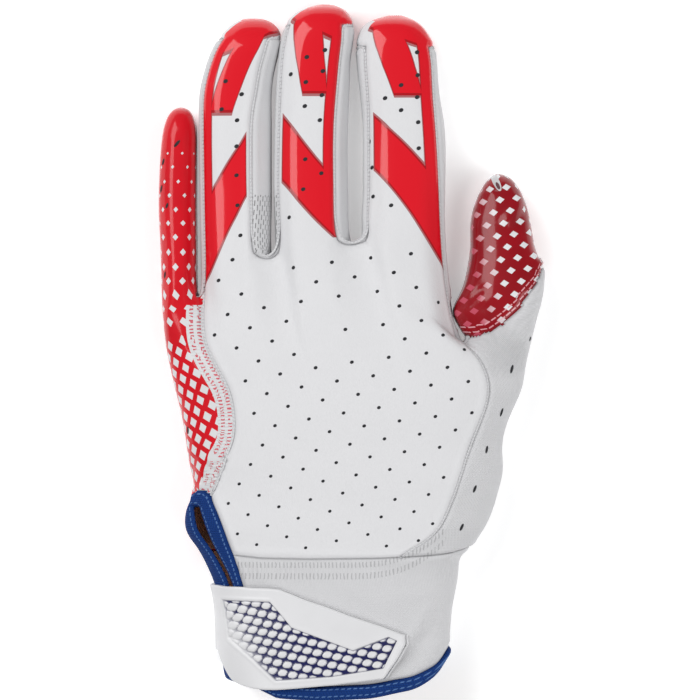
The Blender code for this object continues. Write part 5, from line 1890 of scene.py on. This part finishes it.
CAMERA_CENTRE = (-0.0005, 0.0)
FOCUS_HEIGHT = 0.013
LENS, SENSOR = 250.0, 36.0     # millimetres
ROOM_LIGHT = 0.22
FLOOR_GLOW = 0.3
FLOOR_HALF = 4.0
LAMPS = [
    ("key_light", (-0.75, 0.60, 0.95), (1.0, 1.0), 15.0),
    ("fill_light", (0.85, -0.50, 1.0), (1.0, 1.0), 12.0),
]

class GLOVE_OT_stage(bpy.types.Operator):
    """Pale floor, soft lights and the camera straight above"""

    bl_idname = "glove.stage"
    bl_label = "Stage"

    def execute(self, context):
        look = look_of(context)
        mesh = bpy.data.meshes.new("floor")
        far = FLOOR_HALF
        mesh.from_pydata([(-far, -far, 0), (far, -far, 0), (far, far, 0), (-far, far, 0)], [],
                         [(0, 1, 2, 3)])
        mesh.materials.append(floor_finish(look))
        floor = bpy.data.objects.new("floor", mesh)
        context.scene.collection.objects.link(floor)
        world = bpy.data.worlds.new("soft_room")
        world.use_nodes = True
        sky = world.node_tree.nodes["Background"].inputs
        sky["Color"].default_value = (1, 1, 1, 1)
        sky["Strength"].default_value = ROOM_LIGHT
        context.scene.world = world
        context.scene.view_settings.view_transform = "Standard"
        for name, place, size, power in LAMPS:
            data = bpy.data.lights.new(name, "AREA")
            data.shape = "RECTANGLE"
            data.size, data.size_y = size
            data.energy = power
            lamp = bpy.data.objects.new(name, data)
            context.scene.collection.objects.link(lamp)
            lamp.location = place
            aim = Vector((0, 0, 0)) - Vector(place)
            lamp.rotation_euler = aim.to_track_quat("-Z", "Y").to_euler()
        data = bpy.data.cameras.new("camera")
        data.lens = LENS
        data.sensor_width = SENSOR
        camera = bpy.data.objects.new("camera", data)
        context.scene.collection.objects.link(camera)
        camera.location = (*CAMERA_CENTRE, FOCUS_HEIGHT + look.camera_distance)
        context.scene.camera = camera
        return {"FINISHED"}


PIECE_OPERATORS = (GLOVE_OT_stage, GLOVE_OT_back, GLOVE_OT_palm, GLOVE_OT_thumb,
                   GLOVE_OT_sides, GLOVE_OT_cuff, GLOVE_OT_strap, GLOVE_OT_piping,
                   GLOVE_OT_seams, GLOVE_OT_holes)


class GLOVE_PT_panel(bpy.types.Panel):
    """Sizes, colours and the build steps of the glove"""

    bl_idname = "GLOVE_PT_panel"
    bl_label = "Receiver glove"
    bl_space_type = "VIEW_3D"
    bl_region_type = "UI"
    bl_category = "Glove"

    def draw(self, context):
        look = look_of(context)
        for name in GloveLook.__annotations__:
            self.layout.prop(look, name)
        for operator in PIECE_OPERATORS:
            self.layout.operator(operator.bl_idname)


CLASSES = (GloveLook, *PIECE_OPERATORS, GLOVE_PT_panel)


def register():
    for made in CLASSES:
        bpy.utils.register_class(made)
    bpy.types.Scene.glove_look = bpy.props.PointerProperty(type=GloveLook)


def unregister():
    del bpy.types.Scene.glove_look
    for made in reversed(CLASSES):
        bpy.utils.unregister_class(made)


def main():
    """Builds everything in order."""
    register()
    for operator in PIECE_OPERATORS:
        group, name = operator.bl_idname.split(".")
        getattr(getattr(bpy.ops, group), name)()


if __name__ == "__main__":
    main()
